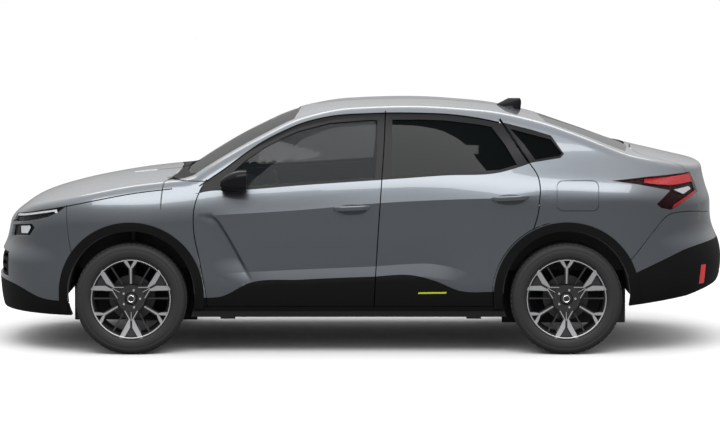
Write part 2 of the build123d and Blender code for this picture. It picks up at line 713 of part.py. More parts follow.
# Rear twist beam with trailing arms, spring seats and stub axles
with BuildPart() as rear_axle:
    with Locations((station(985), 0, level(335))):
        Box(90, across(1160), 70)
    with BuildSketch(Plane.XZ.offset(-across(555))):
        with BuildLine():
            Polyline((station(915), level(300)), (station(915), level(372)), (REAR_AXLE + 55, TYRE_RADIUS + 50),
                     (REAR_AXLE + 70, TYRE_RADIUS - 50), (station(1040), level(290)), close=True)
        make_face()
    extrude(amount=-42)
    with BuildSketch(Plane.XZ.offset(-across(560))):
        with Locations((REAR_AXLE, TYRE_RADIUS)):
            Circle(58)
    extrude(amount=across(560) - HALF_TRACK + 42)
    with BuildSketch(Plane.XZ.offset(-across(600))):
        with Locations((REAR_AXLE, TYRE_RADIUS)):
            Circle(STUB_RADIUS)
    extrude(amount=across(600) - HALF_TRACK - 40)
    with BuildSketch(Plane.XY.offset(level(330))):
        with Locations((station(1130), across(520))):
            Circle(48)
    extrude(amount=level(150))
    with Locations((station(1130), across(540), level(345))):
        Box(120, 80, 30)
    mirror(about=Plane.XZ)
keep(rear_axle.part, "rear_axle")

# Knuckles: upright with a bore for the steering pin, stub axle, caliper and strut
with BuildPart() as knuckle_half:
    with BuildSketch(Plane.XZ.offset(-(HALF_TRACK - 118))):
        with Locations((FRONT_AXLE, TYRE_RADIUS)):
            Circle(66)
        with Locations((FRONT_AXLE, TYRE_RADIUS - 60)):
            Rectangle(60, 96)
        with Locations((FRONT_AXLE, TYRE_RADIUS + 60)):
            Rectangle(70, 110)
    extrude(amount=-78)
    with BuildSketch(Plane.XZ.offset(-(HALF_TRACK - 60))):
        with Locations((FRONT_AXLE, TYRE_RADIUS)):
            Circle(STUB_RADIUS)
    extrude(amount=-100)
    with Locations((FRONT_AXLE, HALF_TRACK - 135, TYRE_RADIUS + 90)):
        Box(56, 60, 60)
    with BuildSketch(Plane.XY.offset(TYRE_RADIUS + 62)):
        with Locations((FRONT_AXLE, HALF_TRACK - 155)):
            Circle(27)
    extrude(amount=ARCH_LIFT + ARCH_RADIUS - 62 - LINER - 12)
    with Locations((FRONT_AXLE + 112, HALF_TRACK - 28, TYRE_RADIUS + 30)):
        Box(60, 100, 110)
    with Locations((FRONT_AXLE + 55, HALF_TRACK - 72, TYRE_RADIUS + 30)):
        Box(80, 24, 60)
    with BuildSketch(Plane.XZ.offset(-(HALF_TRACK - 32))):
        with Locations((FRONT_AXLE, TYRE_RADIUS)):
            Circle(148)
    extrude(amount=-34, mode=Mode.SUBTRACT)
    with BuildSketch(Plane.XZ.offset(-(HALF_TRACK - 60))):
        with Locations((FRONT_AXLE, TYRE_RADIUS)):
            Circle(STUB_RADIUS)
    extrude(amount=-100)
    with BuildSketch(Plane.XY.offset(ARM_Z)):
        with Locations((FRONT_AXLE, STEER_AXIS)):
            Circle(PIN_RADIUS + 0.4)
    extrude(amount=82, mode=Mode.SUBTRACT)
for side in SIDES:
    with BuildPart() as knuckle:
        place(knuckle_half.part, side)
    keep(knuckle.part, f"knuckle_{side}")

# Wheels: barrel, six-armed face, hub and brake disc; and the tyre around them
with BuildPart() as rim_blank:
    with BuildSketch(Plane.XY):
        with BuildLine():
            Polyline((RIM_RADIUS, 94), (RIM_RADIUS, 85), (RIM_RADIUS - 16, 85), (RIM_RADIUS - 16, -90),
                     (RIM_RADIUS - 24, -90), (RIM_RADIUS - 24, 78), (RIM_RADIUS - 9, 94), close=True)
        make_face()
    revolve(axis=Axis.Y)
    with BuildSketch(Plane.XZ.offset(-46)):
        Circle(72)
        for turn in (90, 210, 330):
            with PolarLocations(0, 1, start_angle=turn):
                with Locations((115, 0)):
                    Rectangle(150, 30)
                for lean in (-1, 1):
                    with BuildLine():
                        Polyline((RIM_RADIUS - 84, lean * 2), (RIM_RADIUS - 66, lean * -12),
                                 (RIM_RADIUS - 18, lean * 18), (RIM_RADIUS - 27, lean * 54),
                                 (RIM_RADIUS - 90, lean * 15), close=True)
                    make_face()
        for turn in (30, 150, 270):
            with PolarLocations(0, 1, start_angle=turn):
                for lean in (-1, 1):
                    with BuildLine():
                        Polyline((108, lean * -6), (RIM_RADIUS - 19, lean * 30), (RIM_RADIUS - 34, lean * 74),
                                 (112, lean * 20), (52, lean * 46), (46, lean * 26), close=True)
                    make_face()
    extrude(amount=-30)
    with BuildSketch(Plane.XZ.offset(32)):
        Circle(70)
    extrude(amount=-90)
    with BuildSketch(Plane.XZ.offset(25)):
        Circle(140)
    extrude(amount=-20)
    with BuildSketch(Plane.XZ.offset(60)):
        Circle(STUB_RADIUS + 0.5)
    extrude(amount=-105, mode=Mode.SUBTRACT)
with BuildPart() as tyre_blank:
    with BuildSketch(Plane.XY):
        with BuildLine():
            wide = TYRE_WIDTH / 2
            half_line = [(RIM_RADIUS - 15.5, 79), (TYRE_RADIUS - 48, wide), (TYRE_RADIUS, wide - 30)]
            Polyline(*half_line, *[(r, -y) for r, y in reversed(half_line)], close=True)
        make_face()
    revolve(axis=Axis.Y)
for side in SIDES:
    for end, axle in (("front", FRONT_AXLE), ("rear", REAR_AXLE)):
        spot = Location((axle, HALF_TRACK, TYRE_RADIUS))
        with BuildPart() as rim:
            place(rim_blank.part.moved(spot), side)
        keep(rim.part, f"rim_{end}_{side}")
        with BuildPart() as tyre:
            place(tyre_blank.part.moved(spot), side)
        keep(tyre.part, f"tyre_{end}_{side}")

# Cabin: dashboard with the steering column, steering wheel, seats and rear bench
WHEEL_SPOT = (station(-470), across(-370), level(930))
COLUMN_LEAN = math.radians(24)
COLUMN = Plane(origin=WHEEL_SPOT, x_dir=(0, 1, 0), z_dir=(math.cos(COLUMN_LEAN), 0, math.sin(COLUMN_LEAN)))
RING = Plane(origin=WHEEL_SPOT, x_dir=(0, 1, 0), z_dir=(-math.sin(COLUMN_LEAN), 0, math.cos(COLUMN_LEAN)))
with BuildPart() as dashboard:
    with BuildSketch(Plane.XZ.offset(across(-DASH_HALF))):
        with BuildLine():
            Polyline(*side_points([(-1050, 1020), (-820, 1012), (-680, 972), (-640, 900), (-690, 760),
                                   (-1050, 690)]), close=True)
        make_face()
    extrude(amount=across(2 * DASH_HALF))
    fillet(dashboard.edges().filter_by(Axis.Y).group_by(Axis.X)[-1], 24)
    with BuildSketch(Plane.XZ.offset(across(-110))):
        with BuildLine():
            Polyline(*side_points([(-820, FLOOR_TOP), (-820, 800), (-690, 760), (-560, 560), (60, 540),
                                   (60, FLOOR_TOP)]), close=True)
        make_face()
    extrude(amount=across(220))
    with BuildSketch(COLUMN.offset(-300)):
        Circle(34)
    extrude(amount=250)
    with BuildSketch(COLUMN.offset(-60)):
        Circle(15)
    extrude(amount=70)
keep(dashboard.part, "dashboard")

with BuildPart() as steering_wheel:
    with BuildSketch(RING):
        with Locations((176, 0)):
            RegularPolygon(15, 6)
    revolve(axis=Axis(WHEEL_SPOT, tuple(COLUMN.z_dir)))
    with BuildSketch(COLUMN.offset(-20)):
        Circle(62)
        for turn in (0, 180, 270):
            with PolarLocations(0, 1, start_angle=turn):
                with Locations((105, 0)):
                    Rectangle(130, 34)
    extrude(amount=22)
    with BuildSketch(COLUMN.offset(-30)):
        Circle(15.4)
    extrude(amount=42, mode=Mode.SUBTRACT)
keep(steering_wheel.part, "steering_wheel")

with BuildPart() as front_seats:
    with BuildSketch(Plane.XZ.offset(across(-125))):
        with BuildLine():
            Polyline(*side_points([(-380, FLOOR_TOP), (-420, 470), (-400, 545), (-60, 520), (20, 560),
                                   (140, 1010), (150, 1060), (175, 1190), (240, 1190), (232, 1060),
                                   (235, 1000), (150, 520), (60, FLOOR_TOP)]), close=True)
        make_face()
    extrude(amount=across(-490))
    mirror(about=Plane.XZ)
keep(front_seats.part, "front_seats")

with BuildPart() as rear_bench:
    with BuildSketch(Plane.XZ.offset(across(-588))):
        with BuildLine():
            Polyline(*side_points([(500, FLOOR_TOP), (480, 560), (840, 535), (900, 580), (1005, 1060),
                                   (1025, 1150), (1075, 1150), (1072, 1060), (1750, 1060), (1750, 1040),
                                   (1070, 1040), (1062, 1000), (960, 515), (879, 515), (879, FLOOR_TOP)]),
                     close=True)
        make_face()
    extrude(amount=across(1176))
    # goosenecks that carry the boot lid on the parcel shelf
    for turn in (-1, 1):
        with Locations((LID_HINGE[0], across(turn * 170), (LID_HINGE[1] + level(1050)) / 2)):
            Box(9, 16, LID_HINGE[1] - level(1050))
        add(cross_pin(LID_HINGE, 170 * turn - 30, 170 * turn + 30, HINGE_PIN - 1))
keep(rear_bench.part, "rear_bench")

# Grille mesh in the lower intake, curved with the nose
with BuildPart() as grille:
    add(side_half(14))
    add(side_half(30), mode=Mode.SUBTRACT)
    add(side_prism(INTAKE, -10, across(520)), mode=Mode.INTERSECT)
    split(bisect_by=Plane.XZ, keep=Keep.BOTTOM)
    mirror(about=Plane.XZ)
    with BuildSketch(Plane.YZ.offset(station(-2330))):
        with Locations((0, level(518))):
            with GridLocations(across(150), level(46), 6, 3):
                Rectangle(across(126), level(28))
    extrude(amount=200, mode=Mode.SUBTRACT)
keep(grille.part, "grille")
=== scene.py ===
import json
import math

import bmesh
import bpy
import numpy as np
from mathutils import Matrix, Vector


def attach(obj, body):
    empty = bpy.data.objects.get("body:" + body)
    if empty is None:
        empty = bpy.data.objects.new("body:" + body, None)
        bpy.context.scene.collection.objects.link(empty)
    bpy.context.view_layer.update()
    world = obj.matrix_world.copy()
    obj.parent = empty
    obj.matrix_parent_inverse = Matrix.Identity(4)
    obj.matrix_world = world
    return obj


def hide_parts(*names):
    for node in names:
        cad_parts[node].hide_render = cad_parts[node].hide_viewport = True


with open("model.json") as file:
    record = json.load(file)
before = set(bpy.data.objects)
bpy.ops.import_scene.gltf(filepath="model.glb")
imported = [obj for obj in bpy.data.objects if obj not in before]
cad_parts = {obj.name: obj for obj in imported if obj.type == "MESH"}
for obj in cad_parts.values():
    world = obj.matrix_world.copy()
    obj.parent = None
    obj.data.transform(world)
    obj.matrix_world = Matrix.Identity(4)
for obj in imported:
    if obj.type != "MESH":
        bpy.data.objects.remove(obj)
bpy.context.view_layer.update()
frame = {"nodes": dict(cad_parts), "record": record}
mm = 0.001
axles = {"front": -1407, "rear": 1263}
far = 1000  # beyond the widest part of the skin

# The drawn body: plan, height and width lines in millimetres, X to the rear and Z up
bodyForm = {
    "nose": [(150, -2250), (300, -2290), (450, -2299), (560, -2292), (660, -2250),
             (760, -2228), (880, -2195), (1000, -2150), (1200, -2070), (1700, -1900)],
    "tail": [(150, 2080), (300, 2210), (420, 2288), (540, 2300), (640, 2284), (740, 2240),
             (820, 2226), (900, 2224), (1000, 2192), (1100, 2170), (1200, 2160), (1700, 2140)],
    "half": [(150, 800), (250, 838), (350, 862), (480, 874), (600, 872), (750, 880), (880, 887),
             (950, 882), (1020, 864), (1100, 828), (1200, 781), (1300, 733), (1400, 680),
             (1474, 636), (1520, 606), (1600, 552), (1700, 480)],
    "hood": [(-2360, 730), (-2205, 812), (-2085, 903), (-1930, 962), (-1700, 1018), (-1467, 1054),
             (-1110, 1088)],
    "canopy": [(-1110, 1088), (-914, 1216), (-700, 1338), (-390, 1470), (-100, 1518), (300, 1530),
               (765, 1503), (1073, 1446), (1381, 1353), (1690, 1246), (1900, 1196), (2180, 1130)],
    "bow": [(-2400, 20), (-2100, 20), (-1900, 30), (-1500, 40), (-1110, 45), (-390, 60), (228, 0),
            (1120, -12), (1750, -30), (2300, -20)],
    "crown": [(-2400, 15), (-1900, 16), (-1400, 10), (-1110, 8), (-600, 18), (0, 18), (1000, 18),
              (1700, 22), (2300, 20)],
    "shoulder": [(-2300, 640), (-1800, 790), (-1400, 835), (-887, 864), (-369, 895), (119, 938),
                 (545, 959), (850, 968), (1094, 987), (1500, 1000), (2300, 985)],
    "scoop": [(-2300, 470), (-1000, 495), (-639, 513), (-370, 526), (58, 544), (394, 563), (560, 540),
              (700, 500), (2300, 480)],
    "under": [(-2300, 236), (-1800, 236), (-1000, 262), (900, 262), (1650, 300), (2020, 345), (2240, 400),
              (2310, 470)],
    "endStart": 1450,          # plan corners begin here, front and rear
    "endPower": 2.5,
    "edgeRound": [(-2300, 30), (-1200, 34), (-900, 42), (300, 46), (1500, 36), (1800, 24), (2300, 22)],
    "skin": 14,                # thickness of a painted panel
    "liningDepth": 20,         # inner panels start this far under the paint
}


def along(table, value, window=0):
    xs = np.array([p[0] for p in table], float)
    ys = np.array([p[1] for p in table], float)
    spans = np.diff(xs)
    rises = np.diff(ys) / spans
    product = rises[:-1] * rises[1:]
    total = rises[:-1] + rises[1:]
    middle = np.where(product > 0, 2 * product / np.where(total == 0, 1, total), 0)
    slopes = np.concatenate([[rises[0]], middle, [rises[-1]]])

    def curve(v):
        i = np.clip(np.searchsorted(xs, v, side="right") - 1, 0, len(spans) - 1)
        t = (v - xs[i]) / spans[i]
        s = np.clip(t, 0, 1)
        h = spans[i]
        inside = ((1 + 2 * s) * (1 - s) ** 2 * ys[i] + s * (1 - s) ** 2 * h * slopes[i]
                  + s * s * (3 - 2 * s) * ys[i + 1] + s * s * (s - 1) * h * slopes[i + 1])
        return inside + np.where(t < 0, t * h * slopes[i], 0) + np.where(t > 1, (t - 1) * h * slopes[i + 1], 0)

    value = np.asarray(value, float)
    if not window:
        return curve(value)
    steps = np.linspace(-1, 1, 7)
    weights = 1 - np.abs(steps) * 0.8
    return sum(w * curve(value + window * s) for s, w in zip(steps, weights)) / weights.sum()


def ease(value, start, end):
    s = np.clip((value - start) / (end - start), 0, 1)
    return s * s * (3 - 2 * s)


# Pressed lines on the doors and wings, as small changes of the half width
pressing = {"shoulderLift": 8, "shoulderAbove": 80, "shoulderBelow": 130, "scoopDepth": 16,
            "scoopAbove": 230, "scoopBelow": 80}


def pressedLines(x, z):
    p = pressing
    t = z - along(bodyForm["shoulder"], x, 120)
    reach = np.where(t > 0, p["shoulderAbove"], p["shoulderBelow"])
    fade = ease(x, -1060, -700) * (1 - ease(x, 850, 1180))
    lift = fade * p["shoulderLift"] * np.clip(1 - np.abs(t) / reach, 0, 1) ** 2
    t = z - along(bodyForm["scoop"], x, 60)
    fade = ease(x, -900, -520) * (1 - ease(x, 440, 760))
    hollow = np.where(t > 0, np.clip(1 - t / p["scoopAbove"], 0, 1) ** 2,
                      np.clip(1 + t / p["scoopBelow"], 0, 1))
    lift -= fade * p["scoopDepth"] * hollow
    return lift - bladeRecess(x, z)


# The hollow behind the front wheel: a sharp edge on its upper rear side, fading out forwards
blade = {"edge": [(-1120, 876), (-960, 876), (-900, 866), (-862, 836), (-800, 735), (-740, 625), (-686, 524),
                  (-650, 450)],
         "depth": 30, "reach": 250, "step": 26}


def bladeRecess(x, z):
    e = np.array(blade["edge"], float)
    nearest = np.full(np.shape(x), 1e9)
    for a, b in zip(e[:-1], e[1:]):
        run = b - a
        t = np.clip(((x - a[0]) * run[0] + (z - a[1]) * run[1]) / (run @ run), 0, 1)
        nearest = np.minimum(nearest, np.hypot(x - a[0] - t * run[0], z - a[1] - t * run[1]))
    inside = np.where(z < np.interp(x, e[:, 0], e[:, 1]), nearest, 0)
    shape = ease(inside, 0, blade["step"]) * np.clip(1 - inside / blade["reach"], 0, 1) ** 2
    fade = ease(x, -1010, -850) * ease(z, 430, 600)
    return blade["depth"] * shape * fade


def halfWidth(x, z):
    rise = 0.05 * np.clip(x, -1300, 1300) * ease(z, 450, 850) * (1 - ease(z, 1150, 1480))
    y = along(bodyForm["half"], z - rise, 45)
    for axle in axles.values():
        y = y + 12 * np.exp(-((x - axle) / 430) ** 2) * np.exp(-((z - 720) / 230) ** 2)
    y = y - ease(x, 200, 1900) * 90 * ease(z, 950, 1250)
    y = y - ease(-x, 700, 1500) * 20 * ease(z, 900, 1100)
    return y + pressedLines(x, z)


def topHeight(x, y):
    q = (y / 600) ** 2
    start = x
    for _ in range(2):
        start = x - along(bodyForm["bow"], start) * q
    hood = along(bodyForm["hood"], start, 70) - 0.5 * np.clip(start + 1110, 0, None)
    canopy = along(bodyForm["canopy"], start, 70)
    gap = np.clip(34 - np.abs(hood - canopy), 0, None) / 34
    return np.maximum(hood, canopy) + gap * gap * 34 / 4 - along(bodyForm["crown"], start) * q


# Signed distance to the drawn skin, negative inside
def skinField(x, y, z):
    half = halfWidth(x, z)
    start, power = bodyForm["endStart"], bodyForm["endPower"]
    front = start + along(bodyForm["nose"], z, 40) * -1 - 2 * start
    rear = along(bodyForm["tail"], z, 40) - start
    length = np.where(x < 0, front, rear)
    u = np.clip(np.abs(x) - start, 0, None) / length
    v = np.abs(y) / half
    up, vp = u ** power, v ** power
    total = up + vp + 1e-9
    side = (total ** (1 / power) - 1) * (half * vp + length * up) / total
    slope = (topHeight(x + 4, y) - topHeight(x - 4, y)) / 8
    top = (z - topHeight(x, y)) / np.sqrt(1 + slope * slope)
    k = along(bodyForm["edgeRound"], x) * 1.17
    blend = np.clip(k - np.abs(side - top), 0, None) / k
    return np.maximum(side, top) + blend * blend * k / 4


def skinSlope(p, step=0.8):
    grad = np.empty_like(p)
    for axis in range(3):
        d = np.zeros(3)
        d[axis] = step
        ahead, behind = p + d, p - d
        grad[:, axis] = (skinField(*ahead.T) - skinField(*behind.T)) / (2 * step)
    return grad


def settle(p, depth=0.0, rounds=5):
    p = p.copy()
    for _ in range(rounds):
        grad = skinSlope(p)
        f = skinField(*p.T) + depth
        p -= grad * (f / np.maximum((grad * grad).sum(1), 1e-6))[:, None]
    return p


# One half of the skin as a grid: columns run round the plan from nose to tail, rows run up and over
gridSize = {"endColumns": 60, "midColumns": 300, "lowRows": 14, "scoopRows": 30, "shoulderRows": 26,
            "topRows": 30}


def masterGrid():
    g = gridSize
    start, power = bodyForm["endStart"], 2 / bodyForm["endPower"]
    turn = np.linspace(0, math.pi / 2, g["endColumns"] + 1)[1:]
    mid = np.linspace(-start, start, g["midColumns"] + 1)
    sine = np.concatenate([-np.sin(turn[::-1]) ** power, np.zeros(len(mid)), np.sin(turn) ** power])
    cosine = np.concatenate([np.cos(turn[::-1]).clip(0) ** power, np.ones(len(mid)),
                             np.cos(turn).clip(0) ** power])
    base = np.concatenate([np.full(len(turn), -start), mid, np.full(len(turn), start)])

    def column(z):
        nose, tail = along(bodyForm["nose"], z, 40), along(bodyForm["tail"], z, 40)
        x = base + np.where(sine < 0, -(nose + start) * sine, (tail - start) * sine)
        y = halfWidth(x, z) * cosine
        y[0] = y[-1] = 0
        return x, y

    edge = np.full(len(base), 1000.0)
    for _ in range(25):
        x, y = column(edge)
        edge = 0.4 * edge + 0.6 * topHeight(x, y)
    xEdge, yEdge = column(edge)
    bottom = along(bodyForm["under"], xEdge) - 60
    scoop = np.minimum(along(bodyForm["scoop"], xEdge), edge - 170)
    shoulder = np.minimum(along(bodyForm["shoulder"], xEdge, 120), edge - 110)
    heights = [bottom + (scoop - bottom) * t for t in np.linspace(0, 1, g["lowRows"], endpoint=False)]
    heights += [scoop + (shoulder - scoop) * t for t in np.linspace(0, 1, g["scoopRows"], endpoint=False)]
    heights += [shoulder + (edge - shoulder) * (1 - (1 - t) ** 1.6)
                for t in np.linspace(0, 1, g["shoulderRows"])]
    rows = []
    for z in heights:
        x, y = column(z)
        rows.append(np.stack([x, y, z], 1))
    for t in np.linspace(0, 1, g["topRows"])[1:]:
        y = yEdge * (1 - t ** 1.5)
        rows.append(np.stack([xEdge, y, topHeight(xEdge, y)], 1))
    grid = np.array(rows)
    return settle(grid.reshape(-1, 3)).reshape(grid.shape)


def addPiece(name, mesh):
    piece = bpy.data.objects.new(name, mesh)
    bpy.context.scene.collection.objects.link(piece)
    return piece


def weld(mesh, dist=1e-5, flat=0, outward=False):
    bm = bmesh.new()
    bm.from_mesh(mesh)
    bmesh.ops.remove_doubles(bm, verts=bm.verts, dist=dist)
    if flat:
        bmesh.ops.dissolve_degenerate(bm, dist=flat, edges=bm.edges)
    if outward:
        bmesh.ops.recalc_face_normals(bm, faces=bm.faces)
    bm.to_mesh(mesh)
    bm.free()


def joinMesh(name, points, faces):
    mesh = bpy.data.meshes.new(name)
    mesh.from_pydata([tuple(p) for p in np.asarray(points) * mm], [], faces)
    weld(mesh, 2e-5, 1e-6, True)
    return addPiece(name, mesh)


# Faces over two like grids of points, one above the other, and round the rim between them
def slabFaces(rows, cols):
    n, faces = rows * cols, []
    for r in range(rows - 1):
        for c in range(cols - 1):
            a, b, d, e = r * cols + c, r * cols + c + 1, (r + 1) * cols + c + 1, (r + 1) * cols + c
            faces += [(a, b, d, e), (n + a, n + e, n + d, n + b)]
    rim = list(range(cols)) + [r * cols + cols - 1 for r in range(1, rows)]
    rim += [(rows - 1) * cols + c for c in range(cols - 2, -1, -1)]
    rim += [r * cols for r in range(rows - 2, 0, -1)]
    return faces + [(b, a, n + a, n + b) for a, b in zip(rim, rim[1:] + rim[:1])]


def shellBetween(name, grid, outerDepth, innerDepth):
    rows, cols = grid.shape[:2]
    flat = grid.reshape(-1, 3)
    normal = skinSlope(flat)
    normal /= np.linalg.norm(normal, axis=1)[:, None]
    layers = []
    for depth in (outerDepth, innerDepth):
        p = flat - normal * depth if depth else flat.copy()
        p[np.abs(flat[:, 1]) < 0.01, 1] = 0
        p[:, 1] = np.maximum(p[:, 1], 0)
        layers.append(p)
    return joinMesh(name, np.concatenate(layers), slabFaces(rows, cols))


grid = masterGrid()
shell = shellBetween("skinHalf", grid, 0, bodyForm["skin"])
print("skin grid", grid.shape, "shell", len(shell.data.polygons), "faces")

# Shut lines and openings, as drawn from the side (X, Z) or from above (X, Y)
lines = {
    "hoodDrop": 41, "hoodGap": 6,
    "hoodRear": [(-1238, 990), (-1196, 740), (-1156, 420), (-1143, 200), (-1140, -20)],
    "cowlSide": [(-1250, 722), (-980, 686)],
    "pillarFoot": [(-930, 1064), (-1060, 1066), (-1240, 1072)],
    "doorTop": [(-985, 1036), (-949, 1060), (-823, 1144), (-708, 1228), (-593, 1303), (-475, 1362),
                (-376, 1404), (-191, 1450), (55, 1468), (367, 1470), (521, 1464), (721, 1440), (878, 1409)],
    "frontDoor": [(-940, 1076), (-984, 1000), (-1014, 909), (-1020, 800), (-981, 566), (-945, 340),
                  (-940, 286)],
    "middle": [(82, 286), (105, 700), (131, 1090), (146, 1300), (154, 1485)],
    "rearDoor": [(858, 1434), (951, 1295), (1030, 1180), (1084, 1096), (1096, 1030), (1092, 956), (1085, 880),
                 (1055, 772)],
    "sill": [(-1040, 297), (830, 297)],
    "frontBumper": [(-1799, 917), (-1795, 800), (-1772, 640), (-1735, 540)],
    "rearBumper": [(1580, 500), (1700, 640), (1800, 765), (1890, 856), (2000, 868), (2140, 850), (2360, 770)],
    "frontSkirt": [(-2420, 430), (-2150, 405), (-1960, 335), (-1700, 330)],
    "rearSkirt": [(1590, 462), (1720, 520), (1870, 585), (2012, 640), (2150, 665), (2420, 672)],
    "roofSide": [(-440, 562), (300, 566), (1175, 512)],
    "lid": [(1722, -20), (1722, 488), (1740, 530), (1782, 548), (2450, 548)],
    "belt": [(-1010, 990), (-940, 1006), (-744, 1014), (-384, 1042), (119, 1076), (516, 1103), (860, 1122),
             (985, 1156), (1075, 1186)],
    "cladding": [(-1040, 349), (-983, 351), (-860, 358), (-676, 445), (-370, 464), (58, 482), (333, 489),
                 (456, 457), (609, 395), (823, 389), (900, 389)],
}
openings = {
    "under": [(-2500, 100), (2500, 100), (2500, 560), (2310, 470), (2240, 400), (2020, 345), (1650, 300),
              (900, 268), (-1000, 268), (-1800, 236), (-2500, 240)],
    "frontWindow": [(-800, 1036), (-384, 1056), (88, 1088), (100, 1260), (104, 1428), (55, 1431), (-191, 1412),
                    (-376, 1366), (-475, 1324), (-593, 1262), (-708, 1184), (-790, 1112)],
    "rearWindow": [(186, 1096), (516, 1114), (850, 1134), (958, 1164), (890, 1280), (806, 1388), (721, 1404),
                   (521, 1427), (367, 1433), (196, 1432)],
    "quarterWindow": [(1072, 1192), (1222, 1216), (1236, 1232), (1170, 1312), (1052, 1342), (922, 1376),
                      (1000, 1290)],
    "windscreen": [(-1092, -20), (-1086, 300), (-1056, 560), (-1008, 690), (-720, 642), (-410, 560),
                   (-388, 300), (-380, -20)],
    "rearGlass": [(1130, -20), (1136, 300), (1152, 515), (1640, 585), (1678, 300), (1690, -20)],
    "headlamp": [(-2380, 786), (-2140, 838), (-1960, 880), (-1806, 906), (-1860, 868), (-1930, 836),
                 (-2040, 806), (-2160, 780), (-2380, 748)],
    "lowLamp": [(-2380, 700), (-2120, 776), (-2030, 790), (-2010, 770), (-2045, 716), (-2120, 706),
                (-2380, 640)],
    "tailLamp": [(1532, 1070), (1760, 1090), (2067, 1104), (2400, 1096), (2400, 985), (2110, 988), (1905, 884),
                 (1840, 900), (1812, 926), (1900, 1004), (1700, 1046)],
    "quarterFrame": [(880, 1412), (951, 1310), (1030, 1192), (1040, 1176), (1226, 1204), (1248, 1226),
                     (1172, 1334), (1052, 1370)],
    "intake": [(-2420, 600), (-2200, 596), (-2200, 440), (-2420, 440)],
}
arch = {"radius": 392, "height": 373, "shutRadius": 455}
gap = {"seam": 5, "door": 7, "top": 8, "frame": 14, "lid": 8, "trim": 2.4}


def smoothLine(points, pieces=10):
    if len(points) < 3:
        return points
    p = np.array(points, float)
    run = np.diff(p, axis=0)
    span = np.linalg.norm(run, axis=1)[:, None]
    rate = run / span
    inner = (rate[:-1] * span[1:] + rate[1:] * span[:-1]) / (span[1:] + span[:-1])
    slope = np.vstack([rate[:1], inner, rate[-1:]])
    out = []
    for i, h in enumerate(span):
        for t in np.linspace(0, 1, pieces, endpoint=False):
            out.append((1 + 2 * t) * (1 - t) ** 2 * p[i] + t * (1 - t) ** 2 * h * slope[i]
                       + t * t * (3 - 2 * t) * p[i + 1] + t * t * (t - 1) * h * slope[i + 1])
    return out + [p[-1]]


def ribbon(points, width, smooth=True):
    p = np.array(smoothLine(points) if smooth else points, float)
    run = np.gradient(p, axis=0)
    run /= np.linalg.norm(run, axis=1)[:, None]
    side = np.stack([-run[:, 1], run[:, 0]], 1) * width / 2
    return np.vstack([p + side, (p - side)[::-1]])


def prism(outline, axis, low, high):
    n = len(outline)
    points = []
    for level in (low, high):
        for a, b in outline:
            points.append((a, level, b) if axis == "y" else (a, b, level))
    faces = [tuple(range(n - 1, -1, -1)), tuple(range(n, 2 * n))]
    faces += [(i, (i + 1) % n, n + (i + 1) % n, n + i) for i in range(n)]
    return joinMesh("cutter", points, faces)


def circle(centre, radius, count=96):
    turn = np.linspace(0, 2 * math.pi, count, endpoint=False)
    return [(centre[0] + radius * math.cos(t), centre[1] + radius * math.sin(t)) for t in turn]


def slabUnderTop(xs, ys, drop, thick):
    points = []
    for extra in (0, thick):
        for y in ys:
            z = topHeight(np.array(xs, float), np.full(len(xs), float(y))) - drop - extra
            points += [(x, y, h) for x, h in zip(xs, z)]
    return joinMesh("cutter", points, slabFaces(len(ys), len(xs)))


def dropPiece(piece):
    mesh = piece.data
    bpy.data.objects.remove(piece)
    bpy.data.meshes.remove(mesh)


def applyModifiers(piece):
    view = bpy.context.evaluated_depsgraph_get()
    mesh = bpy.data.meshes.new_from_object(piece.evaluated_get(view))
    piece.modifiers.clear()
    old = piece.data
    piece.data = mesh
    bpy.data.meshes.remove(old)


def carve(piece, cutter, operation="DIFFERENCE"):
    mod = piece.modifiers.new("cut", "BOOLEAN")
    mod.solver = "MANIFOLD"
    mod.operation = operation
    mod.object = cutter
    applyModifiers(piece)
    dropPiece(cutter)


